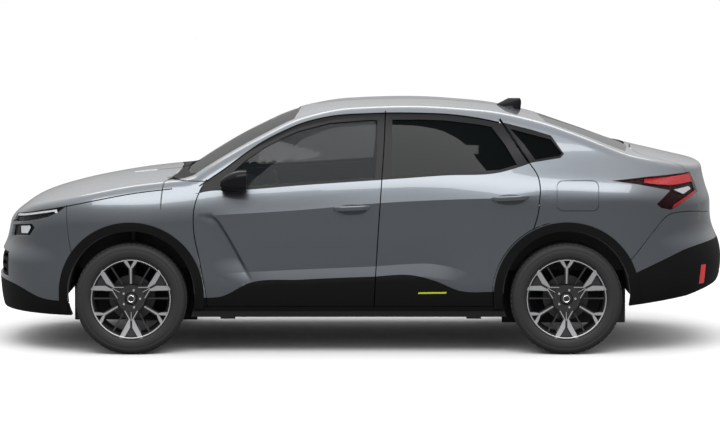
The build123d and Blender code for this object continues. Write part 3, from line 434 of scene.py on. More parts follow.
def cutShell(piece):
    o, w = openings, lines
    jobs = [prism(o["under"], "y", -60, far),
            prism(circle((axles["front"], arch["height"]), arch["radius"]), "y", 430, far),
            prism(circle((axles["rear"], arch["height"]), arch["radius"]), "y", 560, far)]
    jobs += [prism(o[name], "y", 560, far) for name in ("frontWindow", "rearWindow", "quarterWindow")]
    jobs += [prism(o[name], "z", 1050, 1600) for name in ("windscreen", "rearGlass")]
    jobs += [prism(o[name], "y", 420, far) for name in ("headlamp", "lowLamp")]
    jobs += [prism(o["tailLamp"], "y", 552, far), prism(o["intake"], "y", -10, 520)]
    xs, ys = list(np.linspace(-2480, -1150, 60)), list(np.linspace(-20, 960, 30))
    jobs.append(slabUnderTop(xs, ys, w["hoodDrop"] - w["hoodGap"] / 2, w["hoodGap"]))
    jobs.append(prism(ribbon(w["hoodRear"], gap["lid"]), "z", 900, 1300))
    jobs.append(prism(ribbon(w["cowlSide"], gap["seam"]), "z", 950, 1300))
    for name, width, low in (("pillarFoot", "seam", 560), ("doorTop", "top", 580), ("frontDoor", "door", 580),
                             ("middle", "door", 580), ("rearDoor", "door", 580), ("sill", "seam", 580),
                             ("frontBumper", "seam", 430), ("rearBumper", "seam", -10),
                             ("frontSkirt", "trim", -10), ("rearSkirt", "trim", -10),
                             ("belt", "trim", 580), ("cladding", "trim", 580)):
        jobs.append(prism(ribbon(w[name], gap[width]), "y", low, far))
    jobs.append(prism(ribbon(w["rearDoor"][:3], gap["frame"]), "y", 580, far))
    jobs.append(prism(ribbon(w["roofSide"], gap["seam"]), "z", 1200, 1600))
    jobs.append(prism(ribbon(w["lid"], gap["lid"]), "z", 800, 1500))
    turn = np.radians(np.linspace(104, 174, 40))
    shut = [(axles["rear"] + arch["shutRadius"] * math.cos(t),
             arch["height"] + arch["shutRadius"] * math.sin(t)) for t in turn]
    shut.append((axles["rear"] - 448, 286))
    jobs.append(prism(ribbon(shut, gap["seam"], smooth=False), "y", 560, far))
    ring = o["quarterFrame"] + o["quarterFrame"][:1]
    jobs.append(prism(ribbon(ring, gap["trim"], smooth=False), "y", 560, far))
    for cutter in jobs:
        carve(piece, cutter)
    print("shell cut by", len(jobs), "lines and openings")


def looseParts(piece):
    bpy.ops.object.select_all(action="DESELECT")
    piece.select_set(True)
    bpy.context.view_layer.objects.active = piece
    bpy.ops.object.mode_set(mode="EDIT")
    bpy.ops.mesh.select_all(action="SELECT")
    bpy.ops.mesh.separate(type="LOOSE")
    bpy.ops.object.mode_set(mode="OBJECT")
    return list(bpy.context.selected_objects)


def meshPoints(piece):
    flat = np.empty(len(piece.data.vertices) * 3)
    piece.data.vertices.foreach_get("co", flat)
    return flat.reshape(-1, 3)


def setPoints(piece, points):
    piece.data.vertices.foreach_set("co", points.ravel())
    piece.data.update()


# Finishes: colours are linear
finishes = {
    "bodyPaint": {"base": (0.105, 0.117, 0.132), "rough": 0.33, "metal": 0.85, "coat": 1.0,
                  "grain": (900, 0.02), "shift": 0.05},
    "glossBlack": {"base": (0.006, 0.006, 0.007), "rough": 0.2, "spec": 0.12,
                   "grain": (300, 0.004), "shift": 0.1},
    "blackPlastic": {"base": (0.0055, 0.0055, 0.006), "rough": 0.6, "spec": 0.07,
                     "grain": (420, 0.12), "shift": 0.2},
    # This dark primer is the inner panels' colour, and it is also the painted shade under the door handles
    "primerAndCupShade": {"base": (0.045, 0.05, 0.056), "rough": 0.5, "metal": 0.2, "grain": (200, 0.03), "shift": 0.1},
    "doorTrim": {"base": (0.02, 0.02, 0.022), "rough": 0.6, "grain": (260, 0.2), "shift": 0.2},
    "chassisSteel": {"base": (0.03, 0.03, 0.032), "rough": 0.55, "metal": 0.5,
                     "grain": (120, 0.1), "shift": 0.25},
    "rubber": {"base": (0.012, 0.012, 0.0125), "rough": 0.72, "grain": (160, 0.12), "shift": 0.25},
    "fabric": {"base": (0.03, 0.031, 0.034), "rough": 0.9, "grain": (700, 0.3), "shift": 0.3},
    "machined": {"base": (0.62, 0.63, 0.64), "rough": 0.24, "metal": 1.0, "grain": (260, 0.02), "shift": 0.06},
    "brakeDisc": {"base": (0.05, 0.05, 0.052), "rough": 0.4, "metal": 0.8, "grain": (200, 0.05), "shift": 0.15},
    "wheelBlack": {"base": (0.01, 0.01, 0.011), "rough": 0.28, "coat": 0.5,
                   "grain": (300, 0.02), "shift": 0.15},
    "chrome": {"base": (0.7, 0.71, 0.72), "rough": 0.1, "metal": 1.0, "grain": (200, 0.004), "shift": 0.04},
    "lampWhite": {"base": (0.75, 0.77, 0.8), "rough": 0.2, "coat": 0.5, "grain": (80, 0.02), "shift": 0.05},
    "lampRed": {"base": (0.62, 0.008, 0.014), "rough": 0.2, "coat": 0.4, "grain": (90, 0.03), "shift": 0.15},
    "accent": {"base": (0.42, 0.5, 0.02), "rough": 0.35, "grain": (200, 0.02), "shift": 0.05},
}


def finish(name):
    if name in bpy.data.materials:
        return bpy.data.materials[name]
    f = finishes[name]
    mat = bpy.data.materials.new(name)
    mat.use_nodes = True
    nodes, links = mat.node_tree.nodes, mat.node_tree.links
    shader = nodes["Principled BSDF"]
    shader.inputs["Roughness"].default_value = f["rough"]
    shader.inputs["Metallic"].default_value = f.get("metal", 0)
    shader.inputs["Coat Weight"].default_value = f.get("coat", 0)
    shader.inputs["Coat Roughness"].default_value = 0.03
    shader.inputs["Specular IOR Level"].default_value = f.get("spec", 0.5)
    place = nodes.new("ShaderNodeTexCoord")
    cloud = nodes.new("ShaderNodeTexNoise")
    cloud.inputs["Scale"].default_value = f["grain"][0]
    cloud.inputs["Detail"].default_value = 3
    links.new(place.outputs["Object"], cloud.inputs["Vector"])
    tint = nodes.new("ShaderNodeMix")
    tint.data_type = "RGBA"
    shift = f["shift"]
    tint.inputs[6].default_value = (*[c * (1 - shift) for c in f["base"]], 1)      # colour A
    tint.inputs[7].default_value = (*[c * (1 + shift) for c in f["base"]], 1)      # colour B
    links.new(cloud.outputs["Fac"], tint.inputs[0])
    links.new(tint.outputs[2], shader.inputs["Base Color"])
    bump = nodes.new("ShaderNodeBump")
    bump.inputs["Strength"].default_value = f["grain"][1]
    bump.inputs["Distance"].default_value = 0.001
    links.new(cloud.outputs["Fac"], bump.inputs["Height"])
    links.new(bump.outputs["Normal"], shader.inputs["Normal"])
    return mat


def glassFinish(name, tint, clear):
    mat = bpy.data.materials.new(name)
    mat.use_nodes = True
    shader = mat.node_tree.nodes["Principled BSDF"]
    shader.inputs["Base Color"].default_value = (*tint, 1)
    shader.inputs["Roughness"].default_value = 0.02
    shader.inputs["Alpha"].default_value = clear
    shader.inputs["Specular IOR Level"].default_value = 0.3
    return mat


glassTints = {
    "frontGlass": ((0.012, 0.015, 0.016), 0.55), "privacyGlass": ((0.004, 0.005, 0.005), 0.92),
    "screenGlass": ((0.012, 0.015, 0.016), 0.5), "clearLens": ((0.05, 0.053, 0.056), 0.08),
    "smokeLens": ((0.06, 0.006, 0.008), 0.16),
}
for name, (tint, clear) in glassTints.items():
    glassFinish(name, tint, clear)

# Where each cut panel lies, so that it can be told apart
panelSpots = {
    "frontSkirt": (-2250, 300, 300), "frontBumper": (-2290, 100, 640), "hood": (-1700, 300, 1020),
    "cowl": (-1100, 200, 1085), "roof": (300, 200, 1520), "fender": (-1100, 880, 700), "sill": (-100, 860, 280),
    "archFoot": (-985, 850, 325), "frontCladding": (-400, 870, 400), "frontDoor": (-500, 885, 750),
    "bodySide": (1500, 860, 800), "frontFrame": (-400, 668, 1385), "rearSkirt": (2250, 300, 520),
    "rearBumper": (2200, 300, 760), "lid": (2000, 200, 1170), "rearCladding": (400, 870, 400),
    "rearDoor": (500, 885, 750), "rearFrame": (600, 640, 1440), "quarterFrame": (1140, 690, 1330),
}


def sortPanels(parts):
    found = {}
    clouds = {part: meshPoints(part) / mm for part in parts}
    for name, spot in panelSpots.items():
        near = min(parts, key=lambda part: np.linalg.norm(clouds[part] - np.array(spot), axis=1).min())
        found[name] = near
    for part in parts:
        if part not in found.values():
            dropPiece(part)
    return found


def faceLists(mesh):
    return [tuple(p.vertices) for p in mesh.polygons]


def skinPiece(name, items, sides):
    points, faces, slots, mats = [], [], [], []
    for part, matName in items:
        base = meshPoints(part)
        part.data.update()
        lists = faceLists(part.data)
        if len(sides) == 2:
            lists = [f for f in lists if np.abs(base[list(f), 1]).max() > 1e-5]
        mat = finish(matName)
        if mat not in mats:
            mats.append(mat)
        for side in sides:
            start = sum(len(q) for q in points)
            q = base.copy()
            q[:, 1] *= side
            points.append(q)
            faces += [tuple(start + i for i in (f if side > 0 else f[::-1])) for f in lists]
            slots += [mats.index(mat)] * len(lists)
    mesh = bpy.data.meshes.new(name)
    mesh.from_pydata([tuple(p) for p in np.concatenate(points)], [], faces)
    mesh.polygons.foreach_set("material_index", slots)
    for mat in mats:
        mesh.materials.append(mat)
    weld(mesh)
    piece = addPiece(name, mesh)
    skinNormals(piece)
    return piece


def skinNormals(piece, depths=(0.0,)):
    mesh = piece.data
    loops = len(mesh.loops)
    verts = np.empty(loops, int)
    mesh.loops.foreach_get("vertex_index", verts)
    count = np.empty(len(mesh.polygons), int)
    mesh.polygons.foreach_get("loop_total", count)
    owner = np.repeat(np.arange(len(count)), count)
    flat = np.empty(len(count) * 3)
    mesh.polygons.foreach_get("normal", flat)
    faceNormal = flat.reshape(-1, 3)
    mesh.polygons.foreach_get("center", flat)
    centre = flat.reshape(-1, 3) / mm
    p = meshPoints(piece) / mm
    depth = skinField(p[:, 0], np.abs(p[:, 1]), p[:, 2])
    normals = faceNormal[owner].copy()
    for level in depths:
        on = np.abs(depth + level) < 0.6
        whole = np.add.reduceat(on[verts].astype(int), np.concatenate([[0], np.cumsum(count)[:-1]])) == count
        pick = whole[owner]
        q = p[verts[pick]]
        q = q + (centre[owner[pick]] - q) * 0.15
        turn = np.sign(q[:, 1] + 1e-9)
        q[:, 1] = np.abs(q[:, 1])
        grad = skinSlope(q)
        grad[:, 1] *= turn
        grad /= np.linalg.norm(grad, axis=1)[:, None]
        facing = np.sign((grad * faceNormal[owner[pick]]).sum(1))
        normals[pick] = grad * facing[:, None]
    mesh.polygons.foreach_set("use_smooth", np.ones(len(count), bool))
    mesh.normals_split_custom_set(normals.tolist())


def copyNode(name, node, matName, angle=35):
    source = frame["nodes"][node]
    mesh = source.data.copy()
    mesh.name = name
    weld(mesh)
    mesh.materials.clear()
    mesh.materials.append(finish(matName))
    mesh.polygons.foreach_set("material_index", np.zeros(len(mesh.polygons), int))
    piece = addPiece(name, mesh)
    mesh.polygons.foreach_set("use_smooth", np.ones(len(mesh.polygons), bool))
    if mesh.has_custom_normals:
        mesh.attributes.remove(mesh.attributes["custom_normal"])
    mesh.set_sharp_from_angle(angle=math.radians(angle))
    return piece


def lining(name, node, matName):
    piece = copyNode(name, node, matName)
    p = meshPoints(piece) / mm
    side = np.where(p[:, 1] < 0, -1.0, 1.0)
    p[:, 1] = np.abs(p[:, 1])
    shallow = skinField(*p.T) > -bodyForm["liningDepth"]
    moved = settle(p[shallow], bodyForm["liningDepth"], 4)
    move = moved - p[shallow]
    length = np.linalg.norm(move, axis=1)[:, None]
    reach = np.minimum(length, 2 * bodyForm["liningDepth"] + 20)
    p[shallow] += move * reach / np.maximum(length, 1e-6)
    p[:, 1] *= side
    setPoints(piece, p * mm)
    return piece


# The inner front door stays clear of the rear door's leading edge, which swings past it
def pullBack(piece, room=13):
    p = meshPoints(piece) / mm
    edge = np.array(lines["middle"], float)
    p[:, 0] = np.minimum(p[:, 0], np.interp(p[:, 2], edge[:, 1], edge[:, 0]) - room)
    setPoints(piece, p * mm)


# The fuel flap
flapForm = {"centre": (1325, 980), "size": (250, 176), "corner": 34, "gap": 4}


def roundedBox(centre, size, corner, steps=8):
    points = []
    for k, (sx, sz) in enumerate(((1, 1), (-1, 1), (-1, -1), (1, -1))):
        for t in np.linspace(0, math.pi / 2, steps):
            turn = t + k * math.pi / 2
            points.append((centre[0] + sx * (size[0] / 2 - corner) + corner * math.cos(turn),
                           centre[1] + sz * (size[1] / 2 - corner) + corner * math.sin(turn)))
    return points


def cloneOf(part, name):
    return addPiece(name, part.data.copy())


def cutFlap(part):
    f = flapForm
    rest, flap = cloneOf(part, "flapSide"), cloneOf(part, "flap")
    carve(flap, prism(roundedBox(f["centre"], f["size"], f["corner"]), "y", 560, far), "INTERSECT")
    wide = (f["size"][0] + 2 * f["gap"], f["size"][1] + 2 * f["gap"])
    carve(rest, prism(roundedBox(f["centre"], wide, f["corner"] + f["gap"]), "y", 560, far))
    return rest, flap


cutShell(shell)
panels = sortPanels(looseParts(shell))
print("panels", len(panels))
sideSigns = {"left": -1, "right": 1}
skins = {}
centrePanels = {
    "hood": ("hood", "hood", [("hood", "bodyPaint")]),
    "roof": ("body", "roof_panel", [("roof", "bodyPaint")]),
    "lid": ("boot_lid", "boot_lid", [("lid", "bodyPaint")]),
    "frontBumper": ("body", "front_bumper", [("frontBumper", "bodyPaint")]),
    "rearBumper": ("body", "rear_bumper", [("rearBumper", "bodyPaint")]),
    "skirts": ("body", "skirts", [("frontSkirt", "blackPlastic"), ("rearSkirt", "blackPlastic")]),
    "cowl": ("body", "cowl", [("cowl", "blackPlastic")]),
    "fenders": ("body", "fenders", [("fender", "bodyPaint"), ("archFoot", "blackPlastic")]),
}
for name, (body, node, items) in centrePanels.items():
    skins[name] = skinPiece(name + "Skin", [(panels[p], m) for p, m in items], (-1, 1))
    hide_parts(node)
    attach(skins[name], body)
    inner = lining(name + "Lining", node, "primerAndCupShade" if name != "roof" else "doorTrim")
    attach(inner, body)
sidePanels = {
    "frontDoor": ("front_door", [("frontDoor", "bodyPaint"), ("frontFrame", "glossBlack"),
                                 ("frontCladding", "blackPlastic")]),
    "rearDoor": ("rear_door", [("rearDoor", "bodyPaint"), ("rearFrame", "glossBlack"),
                               ("rearCladding", "blackPlastic")]),
    "bodySide": ("body_side", [("bodySide", "bodyPaint"), ("quarterFrame", "glossBlack"),
                               ("sill", "blackPlastic")]),
}
panels["flapSide"], panels["flap"] = cutFlap(panels["bodySide"])
for side, sign in sideSigns.items():
    for name, (node, items) in sidePanels.items():
        title = name + side.capitalize()
        if title == "bodySideLeft":
            items = [("flapSide", "bodyPaint")] + items[1:]
        body = f"{node}_{side}" if "door" in node else "body"
        skins[title] = skinPiece(title + "Skin", [(panels[p], m) for p, m in items], (sign,))
        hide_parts(f"{node}_{side}")
        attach(skins[title], body)
        inner = lining(title + "Lining", f"{node}_{side}", "doorTrim" if "door" in node else "bodyPaint")
        if name == "frontDoor":
            pullBack(inner)
        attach(inner, body)
skins["fuelFlap"] = skinPiece("fuelFlapSkin", [(panels["flap"], "bodyPaint")], (-1,))
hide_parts("fuel_flap")
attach(skins["fuelFlap"], "fuel_flap")
for part in panels.values():
    dropPiece(part)
print("skins", len(skins))

# A piece cut from a layer that follows the skin at two depths
def layerPiece(name, source, outline, depths, matName, sides=(-1, 1), low=430, high=far, axis="y"):
    part = cloneOf(source, "layerCut")
    carve(part, prism(outline, axis, low, high), "INTERSECT")
    piece = skinPiece(name, [(part, matName)], sides)
    dropPiece(part)
    skinNormals(piece, depths)
    return piece


# Panes are cut from a thin layer just under the skin
glazing = {"depths": (6, 10.5), "y": (560, far), "z": (1050, 1600)}
paneShell = shellBetween("paneHalf", grid, *glazing["depths"])


def pane(name, outline, axis, matName, sides):
    return layerPiece(name, paneShell, outline, glazing["depths"], matName, sides, *glazing[axis], axis)


for side, sign in sideSigns.items():
    for name, tint in (("front", "frontGlass"), ("rear", "privacyGlass")):
        piece = pane(f"{name}Pane{side.capitalize()}", openings[name + "Window"], "y", tint, (sign,))
        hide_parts(f"{name}_glass_{side}")
        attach(piece, f"{name}_door_{side}")
    piece = pane(f"quarterPane{side.capitalize()}", openings["quarterWindow"], "y", "privacyGlass", (sign,))
    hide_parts("fixed_glass")
    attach(piece, "body")
for name, tint in (("windscreen", "screenGlass"), ("rearGlass", "privacyGlass")):
    piece = pane(name + "Pane", openings[name], "z", tint, (-1, 1))
    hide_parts("fixed_glass")
    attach(piece, "body")
print("panes done")

# CAD nodes that keep their own form get a finish and soft shading
plainNodes = {
    "grille": "blackPlastic", "arch_liners": "doorTrim", "front_frame": "chassisSteel",
    "power_unit": "chassisSteel", "rear_axle": "chassisSteel", "dashboard": "doorTrim",
    "steering_wheel": "doorTrim", "mirror_left": "glossBlack", "mirror_right": "glossBlack",
    "knuckle_left": "chassisSteel", "knuckle_right": "chassisSteel",
}
bodyOf = {}
for bodyName, nodeNames in frame["record"]["behaviour"]["bodies"].items():
    for nodeName in nodeNames:
        bodyOf[nodeName] = bodyName
for node, matName in plainNodes.items():
    piece = copyNode(node + "Look", node, matName)
    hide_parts(node)
    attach(piece, bodyOf[node])

# Seats: the CAD blocks turned into rounded cushions
padding = {"cell": 0.014, "passes": 14, "round": 0.028}


def bake(piece):
    applyModifiers(piece)
    piece.data.polygons.foreach_set("use_smooth", np.ones(len(piece.data.polygons), bool))


def cushion(name, node):
    piece = copyNode(name, node, "fabric")
    block = piece.modifiers.new("cells", "REMESH")
    block.mode = "VOXEL"
    block.voxel_size = padding["cell"]
    soft = piece.modifiers.new("soft", "SMOOTH")
    soft.iterations = padding["passes"]
    soft.factor = 0.5
    bake(piece)
    return piece


def benchLook(name, node):
    piece = copyNode(name, node, "fabric")
    soft = piece.modifiers.new("soft", "BEVEL")
    soft.width = padding["round"]
    soft.segments = 4
    soft.limit_method = "ANGLE"
    bake(piece)
    return piece


for piece, node in ((cushion("frontSeatsLook", "front_seats"), "front_seats"),
                    (benchLook("rearBenchLook", "rear_bench"), "rear_bench")):
    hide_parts(node)
    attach(piece, "body")

# The hinge arms on the pillars end short of the hollow door skins
hingeArms = {"x": (-950, 140), "z": (720, 860), "reach": 790}


def shortenArms(piece):
    p = meshPoints(piece) / mm
    for x in hingeArms["x"]:
        for z in hingeArms["z"]:
            near = (np.abs(p[:, 0] - x) < 15) & (np.abs(p[:, 2] - z) < 45)
            near &= np.abs(p[:, 1]) > hingeArms["reach"]
            p[near, 1] = np.sign(p[near, 1]) * hingeArms["reach"]
    setPoints(piece, p * mm)


floorLook = lining("floorLook", "floor_pan", "chassisSteel")
shortenArms(floorLook)
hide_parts("floor_pan")
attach(floorLook, "body")

# Arch trims stand a little proud of the skin and run down beside each wheel
archTrim = {"outer": 446, "inner": 393, "stand": 9, "seat": 6,
            "feet": {"front": (250, 283), "rear": (283, 310)}, "walls": {"front": 474, "rear": 604},
            "wallHalf": 384, "wallLow": 165, "wallHigh": 500, "wallThick": 3}


def archOutline(axle, feet):
    height, points = arch["height"], []
    for radius, order in ((archTrim["outer"], 1), (archTrim["inner"], -1)):
        turns = np.linspace(math.pi, 0, 60)
        row = [(axle - radius, feet[0])]
        row += [(axle + radius * math.cos(t), height + radius * math.sin(t)) for t in turns]
        points += (row + [(axle + radius, feet[1])])[::order]
    return points


trimShell = shellBetween("trimHalf", grid, -archTrim["stand"], archTrim["seat"])
for end, feet in archTrim["feet"].items():
    piece = layerPiece(f"archTrim{end.capitalize()}", trimShell, archOutline(axles[end], feet),
                       (-archTrim["stand"], archTrim["seat"]), "blackPlastic")
    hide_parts("arch_trims")
    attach(piece, "body")
dropPiece(trimShell)
for end, y in archTrim["walls"].items():
    left, right = axles[end] - archTrim["wallHalf"], axles[end] + archTrim["wallHalf"]
    low, high = archTrim["wallLow"], archTrim["wallHigh"]
    wall = prism([(left, low), (right, low), (right, high), (left, high)], "y", y, y + archTrim["wallThick"])
    piece = skinPiece(f"archWall{end.capitalize()}", [(wall, "doorTrim")], (-1, 1))
    dropPiece(wall)
    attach(piece, "body")
print("arch trims done")

# Lamps: a dark housing deep in the opening, light bars before it and a clear or red cover on top
lamps = {
    "cover": (1.0, 3.5), "bar": (6, 11), "proud": (-1.5, 3),
    "front": {"headlamp": [[(-2300, 800), (-2120, 836), (-1960, 871), (-1862, 889), (-1858, 868), (-1872, 866),
                            (-1876, 876), (-1962, 859), (-2120, 824), (-2300, 788)]],
              "lowLamp": [[(-2112, 764), (-2046, 776), (-2040, 764), (-2060, 728), (-2108, 722)]]},
    "accent": [(352, 377), (524, 379), (528, 389), (356, 387)],
    "reflector": [(2100, 412), (2112, 530), (2146, 530), (2136, 412)],
    "rear": {"red": [[(1737, 1076), (2075, 1094), (2300, 1090), (2300, 1060), (1905, 1034),
                      (1738, 1054)],
                     [(1925, 915), (2040, 972), (2110, 1004), (2300, 1000), (2300, 988), (2110, 990),
                      (1916, 894)]],
             "white": [[(1925, 1006), (2030, 1018), (2046, 1002), (1990, 976)]]},
}


def lampSet():
    c, b, proud = lamps["cover"], lamps["bar"], lamps["proud"]
    coverShell = shellBetween("coverHalf", grid, *c)
    barShell = shellBetween("barHalf", grid, *b)
    for node in ("headlamps", "tail_lamps"):
        housing = lining(node + "Housing", node, "glossBlack")
        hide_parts(node)
        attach(housing, "body")
    jobs = [("headCover", coverShell, openings["headlamp"], c, "clearLens"),
            ("lowCover", coverShell, openings["lowLamp"], c, "clearLens"),
            ("tailCover", coverShell, openings["tailLamp"], c, "smokeLens")]
    for name, outlines in lamps["front"].items():
        jobs += [(f"{name}Bar{k}", barShell, outline, b, "lampWhite") for k, outline in enumerate(outlines)]
    for k, outline in enumerate(lamps["rear"]["red"]):
        jobs.append((f"tailRed{k}", barShell, outline, b, "lampRed"))
    for k, outline in enumerate(lamps["rear"]["white"]):
        jobs.append((f"tailWhite{k}", barShell, outline, b, "lampWhite"))
    for name, source, outline, depths, mat in jobs:
        low = 552 if name.startswith("tail") else 420
        piece = layerPiece(name, source, outline, depths, mat, low=low)
        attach(piece, "body")
    dropPiece(coverShell)
    dropPiece(barShell)
    proudShell = shellBetween("proudHalf", grid, *proud)
    piece = layerPiece("reflectors", proudShell, lamps["reflector"], proud, "lampRed", low=300)
    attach(piece, "body")
    for side, sign in sideSigns.items():
        name = f"accent{side.capitalize()}"
        piece = layerPiece(name, proudShell, lamps["accent"], proud, "accent", (sign,))
        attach(piece, f"rear_door_{side}")
    dropPiece(proudShell)
    print("lamps", len(jobs))


lampSet()

# Handles: a bowed bar in the paint of the door, over a dark patch of painted shade where the handle's cup would
# lie in shade
# The cup entries place a flat patch of painted shade under each handle; no cup is pressed into the skin
handle = {"spots": {"front": (-52, 907), "rear": (911, 968)}, "half": 118, "stand": 34, "tall": 30, "deep": 15,
          "cup": (92, 33), "cupShadeDrop": 10, "cupShadeDepths": (-0.6, 2)}


def skinSide(x, z):
    x, z = np.asarray(x, float), np.asarray(z, float)
    low, high = np.full(x.shape, 300.0), np.full(x.shape, 1000.0)
    for _ in range(30):
        middle = (low + high) / 2
        inside = skinField(x, middle, z) < 0
        low, high = np.where(inside, middle, low), np.where(inside, high, middle)
    return (low + high) / 2


def tubeFaces(steps, ring):
    faces = []
    for i in range(steps - 1):
        for k in range(ring):
            a, b = i * ring + k, i * ring + (k + 1) % ring
            faces.append((a, b, b + ring, a + ring))
    return faces + [tuple(range(ring)), tuple(range((steps - 1) * ring, steps * ring))]


def handleBin(spot):
    h = handle
    bin = MeshBin()
    steps, ring = 40, 20
    t = np.linspace(-1, 1, steps)
    x = spot[0] + t * h["half"]
    ends = skinSide(np.array([x[0], x[-1]]), np.full(2, spot[1]))
    base = np.interp(x, [x[0], x[-1]], ends)
    out = h["stand"] * (1 - np.abs(t) ** 3.2) - 6
    size = np.sqrt(np.clip(1.02 - t ** 6, 0, 1))
    points = []
    for i in range(steps):
        for k in range(ring):
            turn = 2 * math.pi * k / ring
            c, s = math.cos(turn), math.sin(turn)
            wide = h["deep"] / 2 * size[i] * np.sign(c) * abs(c) ** 0.6
            tall = h["tall"] / 2 * size[i] * np.sign(s) * abs(s) ** 0.6
            points.append((x[i], base[i] + out[i] + wide, spot[1] + tall + 5 * t[i]))
    bin.add(points, tubeFaces(steps, ring), 0)
    return bin


def buildHandles():
    h = handle
    cupShadeShell = shellBetween("cupShadeHalf", grid, *h["cupShadeDepths"])
    for end, spot in h["spots"].items():
        turns = np.linspace(0, 2 * math.pi, 40, endpoint=False)
        cup = [(spot[0] + h["cup"][0] * math.cos(t), spot[1] - h["cupShadeDrop"] + h["cup"][1] * math.sin(t))
               for t in turns]
        for side, sign in sideSigns.items():
            name = f"{end}CupShade{side.capitalize()}"
            # This patch is painted shade: a darker ellipse laid on the door skin in place of the shaded cup
            piece = layerPiece(name, cupShadeShell, cup, h["cupShadeDepths"], "primerAndCupShade", (sign,))
            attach(piece, f"{end}_door_{side}")
            piece = handleBin(spot).piece(f"{end}Handle{side.capitalize()}", [finish("bodyPaint")])
            setAt(piece, (0, 0, 0), sign)
            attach(piece, f"{end}_door_{side}")
    dropPiece(cupShadeShell)


# Shark fin on the roof
fin = {"front": 868, "rear": 1024, "top": 1530, "width": 44, "root": 6}


def finBin():
    bin = MeshBin()
    rows, ring = 14, 28
    base = float(topHeight(np.array([fin["rear"]]), np.array([0.0]))[0]) - fin["root"]
    points = []
    for i in range(rows):
        t = i / (rows - 1)
        z0 = base + (fin["top"] - base) * t
        front = fin["front"] + (fin["rear"] - fin["front"]) * 0.5 * t ** 1.5
        rear = fin["rear"] + 10 * t - 14 * t ** 6
        wide = fin["width"] / 2 * (1 - 0.55 * t) * math.sqrt(1.06 - t ** 4)
        for k in range(ring):
            turn = 2 * math.pi * k / ring
            x = (front + rear) / 2 + (rear - front) / 2 * math.cos(turn)
            y = wide * math.sin(turn) * (0.7 + 0.3 * math.cos(turn))
            roof = float(topHeight(np.array([x]), np.array([y]))[0]) - fin["root"]
            z = roof + (fin["top"] - roof) * t if i else roof
            points.append((x, y, max(z, z0) if i == rows - 1 else z))
    bin.add(points, tubeFaces(rows, ring), 0)
    return bin


# Wheels: black castings with machined faces, three Y spokes and three pairs of bars
wheel = {
    "radius": 246, "hubDepth": 58, "rimDepth": 82, "thick": 24, "faceLift": 3,
    "track": 775, "height": 343,
    "arm": [(0.985, 0.10, 0.19), (0.87, 0.035, 0.118), (0.78, -0.006, 0.048)],
    "stem": [(0.80, -0.032, 0.032), (0.70, -0.022, 0.022), (0.38, -0.016, 0.016)],
    "bar": [(0.98, 0.185, 0.30), (0.85, 0.105, 0.236), (0.72, 0.03, 0.165), (0.60, 0.026, 0.108),
            (0.50, 0.024, 0.052)],
    "line": [(0.51, 0.030, 0.052), (0.30, 0.146, 0.170)],
    "fin": [(0.93, -0.022, 0.022), (0.42, -0.016, 0.016)],
    "seam": [(0.55, -0.008, 0.008), (0.33, -0.008, 0.008)],
    "web": [(0.96, -0.15, 0.15), (0.74, -0.04, 0.04), (0.34, -0.12, 0.12)],
    "finTurns": (31, -31), "yTurns": (90, 210, 330), "barTurns": (30, 150, 270),
    "bolts": 5, "boltRadius": 0.225, "boltSize": 9, "boltDepth": 52, "boltPhase": 0.3, "segments": 96,
    "disc": 140,
}


class MeshBin:
    def __init__(self):
        self.points, self.faces, self.slots = [], [], []

    def add(self, points, faces, slot):
        start = len(self.points)
        self.points += [tuple(p) for p in points]
        self.faces += [tuple(start + i for i in f) for f in faces]
        self.slots += [slot] * len(faces)

    def piece(self, name, mats, angle=30):
        mesh = bpy.data.meshes.new(name)
        mesh.from_pydata([tuple(c * mm for c in p) for p in self.points], [], self.faces)
        mesh.polygons.foreach_set("material_index", self.slots)
        for mat in mats:
            mesh.materials.append(mat)
        weld(mesh, outward=True)
        mesh.polygons.foreach_set("use_smooth", np.ones(len(mesh.polygons), bool))
        mesh.set_sharp_from_angle(angle=math.radians(angle))
        return addPiece(name, mesh)


def revolve(bin, profile, slot, segments, closed=False):
    count = len(profile)
    points, faces = [], []
    for s in range(segments):
        t = 2 * math.pi * s / segments
        points += [(r * math.cos(t), d, r * math.sin(t)) for r, d in profile]
    last = count if closed else count - 1
    for s in range(segments):
        for i in range(last):
            a, b = s * count + i, s * count + (i + 1) % count
            c, e = ((s + 1) % segments) * count + (i + 1) % count, ((s + 1) % segments) * count + i
            faces.append((a, b, c, e))
    bin.add(points, faces, slot)


def faceDepth(r):
    return wheel["hubDepth"] + (wheel["rimDepth"] - wheel["hubDepth"]) * min(1, r) ** 1.6


def spoke(bin, strip, turn, flip, lift, grow, thick, topSlot, sideSlot):
    radius = wheel["radius"]
    c, s = math.cos(math.radians(turn)), math.sin(math.radians(turn))
    rows = []
    for (a0, l0, h0), (a1, l1, h1) in zip(strip[:-1], strip[1:]):
        steps = 4
        for k in range(steps):
            t = k / steps
            rows.append((a0 + (a1 - a0) * t, l0 + (l1 - l0) * t, h0 + (h1 - h0) * t))
    rows.append(strip[-1])
    top, low = [], []
    for a, l, h in rows:
        for b in (l - grow, h + grow):
            b = b * flip
            u, v = (a * c - b * s) * radius, (a * s + b * c) * radius
            d = faceDepth(math.hypot(a, b)) + lift
            top.append((u, d, v))
            low.append((u, d - thick, v))
    n = len(rows)
    topFaces = [(2 * i, 2 * i + 1, 2 * i + 3, 2 * i + 2) for i in range(n - 1)]
    bin.add(top, topFaces, topSlot)
    points = top + low
    m = len(top)
    faces = []
    for i in range(n - 1):
        faces += [(2 * i, 2 * i + 2, m + 2 * i + 2, m + 2 * i),
                  (2 * i + 1, m + 2 * i + 1, m + 2 * i + 3, 2 * i + 3),
                  (m + 2 * i, m + 2 * i + 2, m + 2 * i + 3, m + 2 * i + 1)]
    faces += [(0, m, m + 1, 1), (2 * n - 2, 2 * n - 1, m + 2 * n - 1, m + 2 * n - 2)]
    bin.add(points, faces, sideSlot)


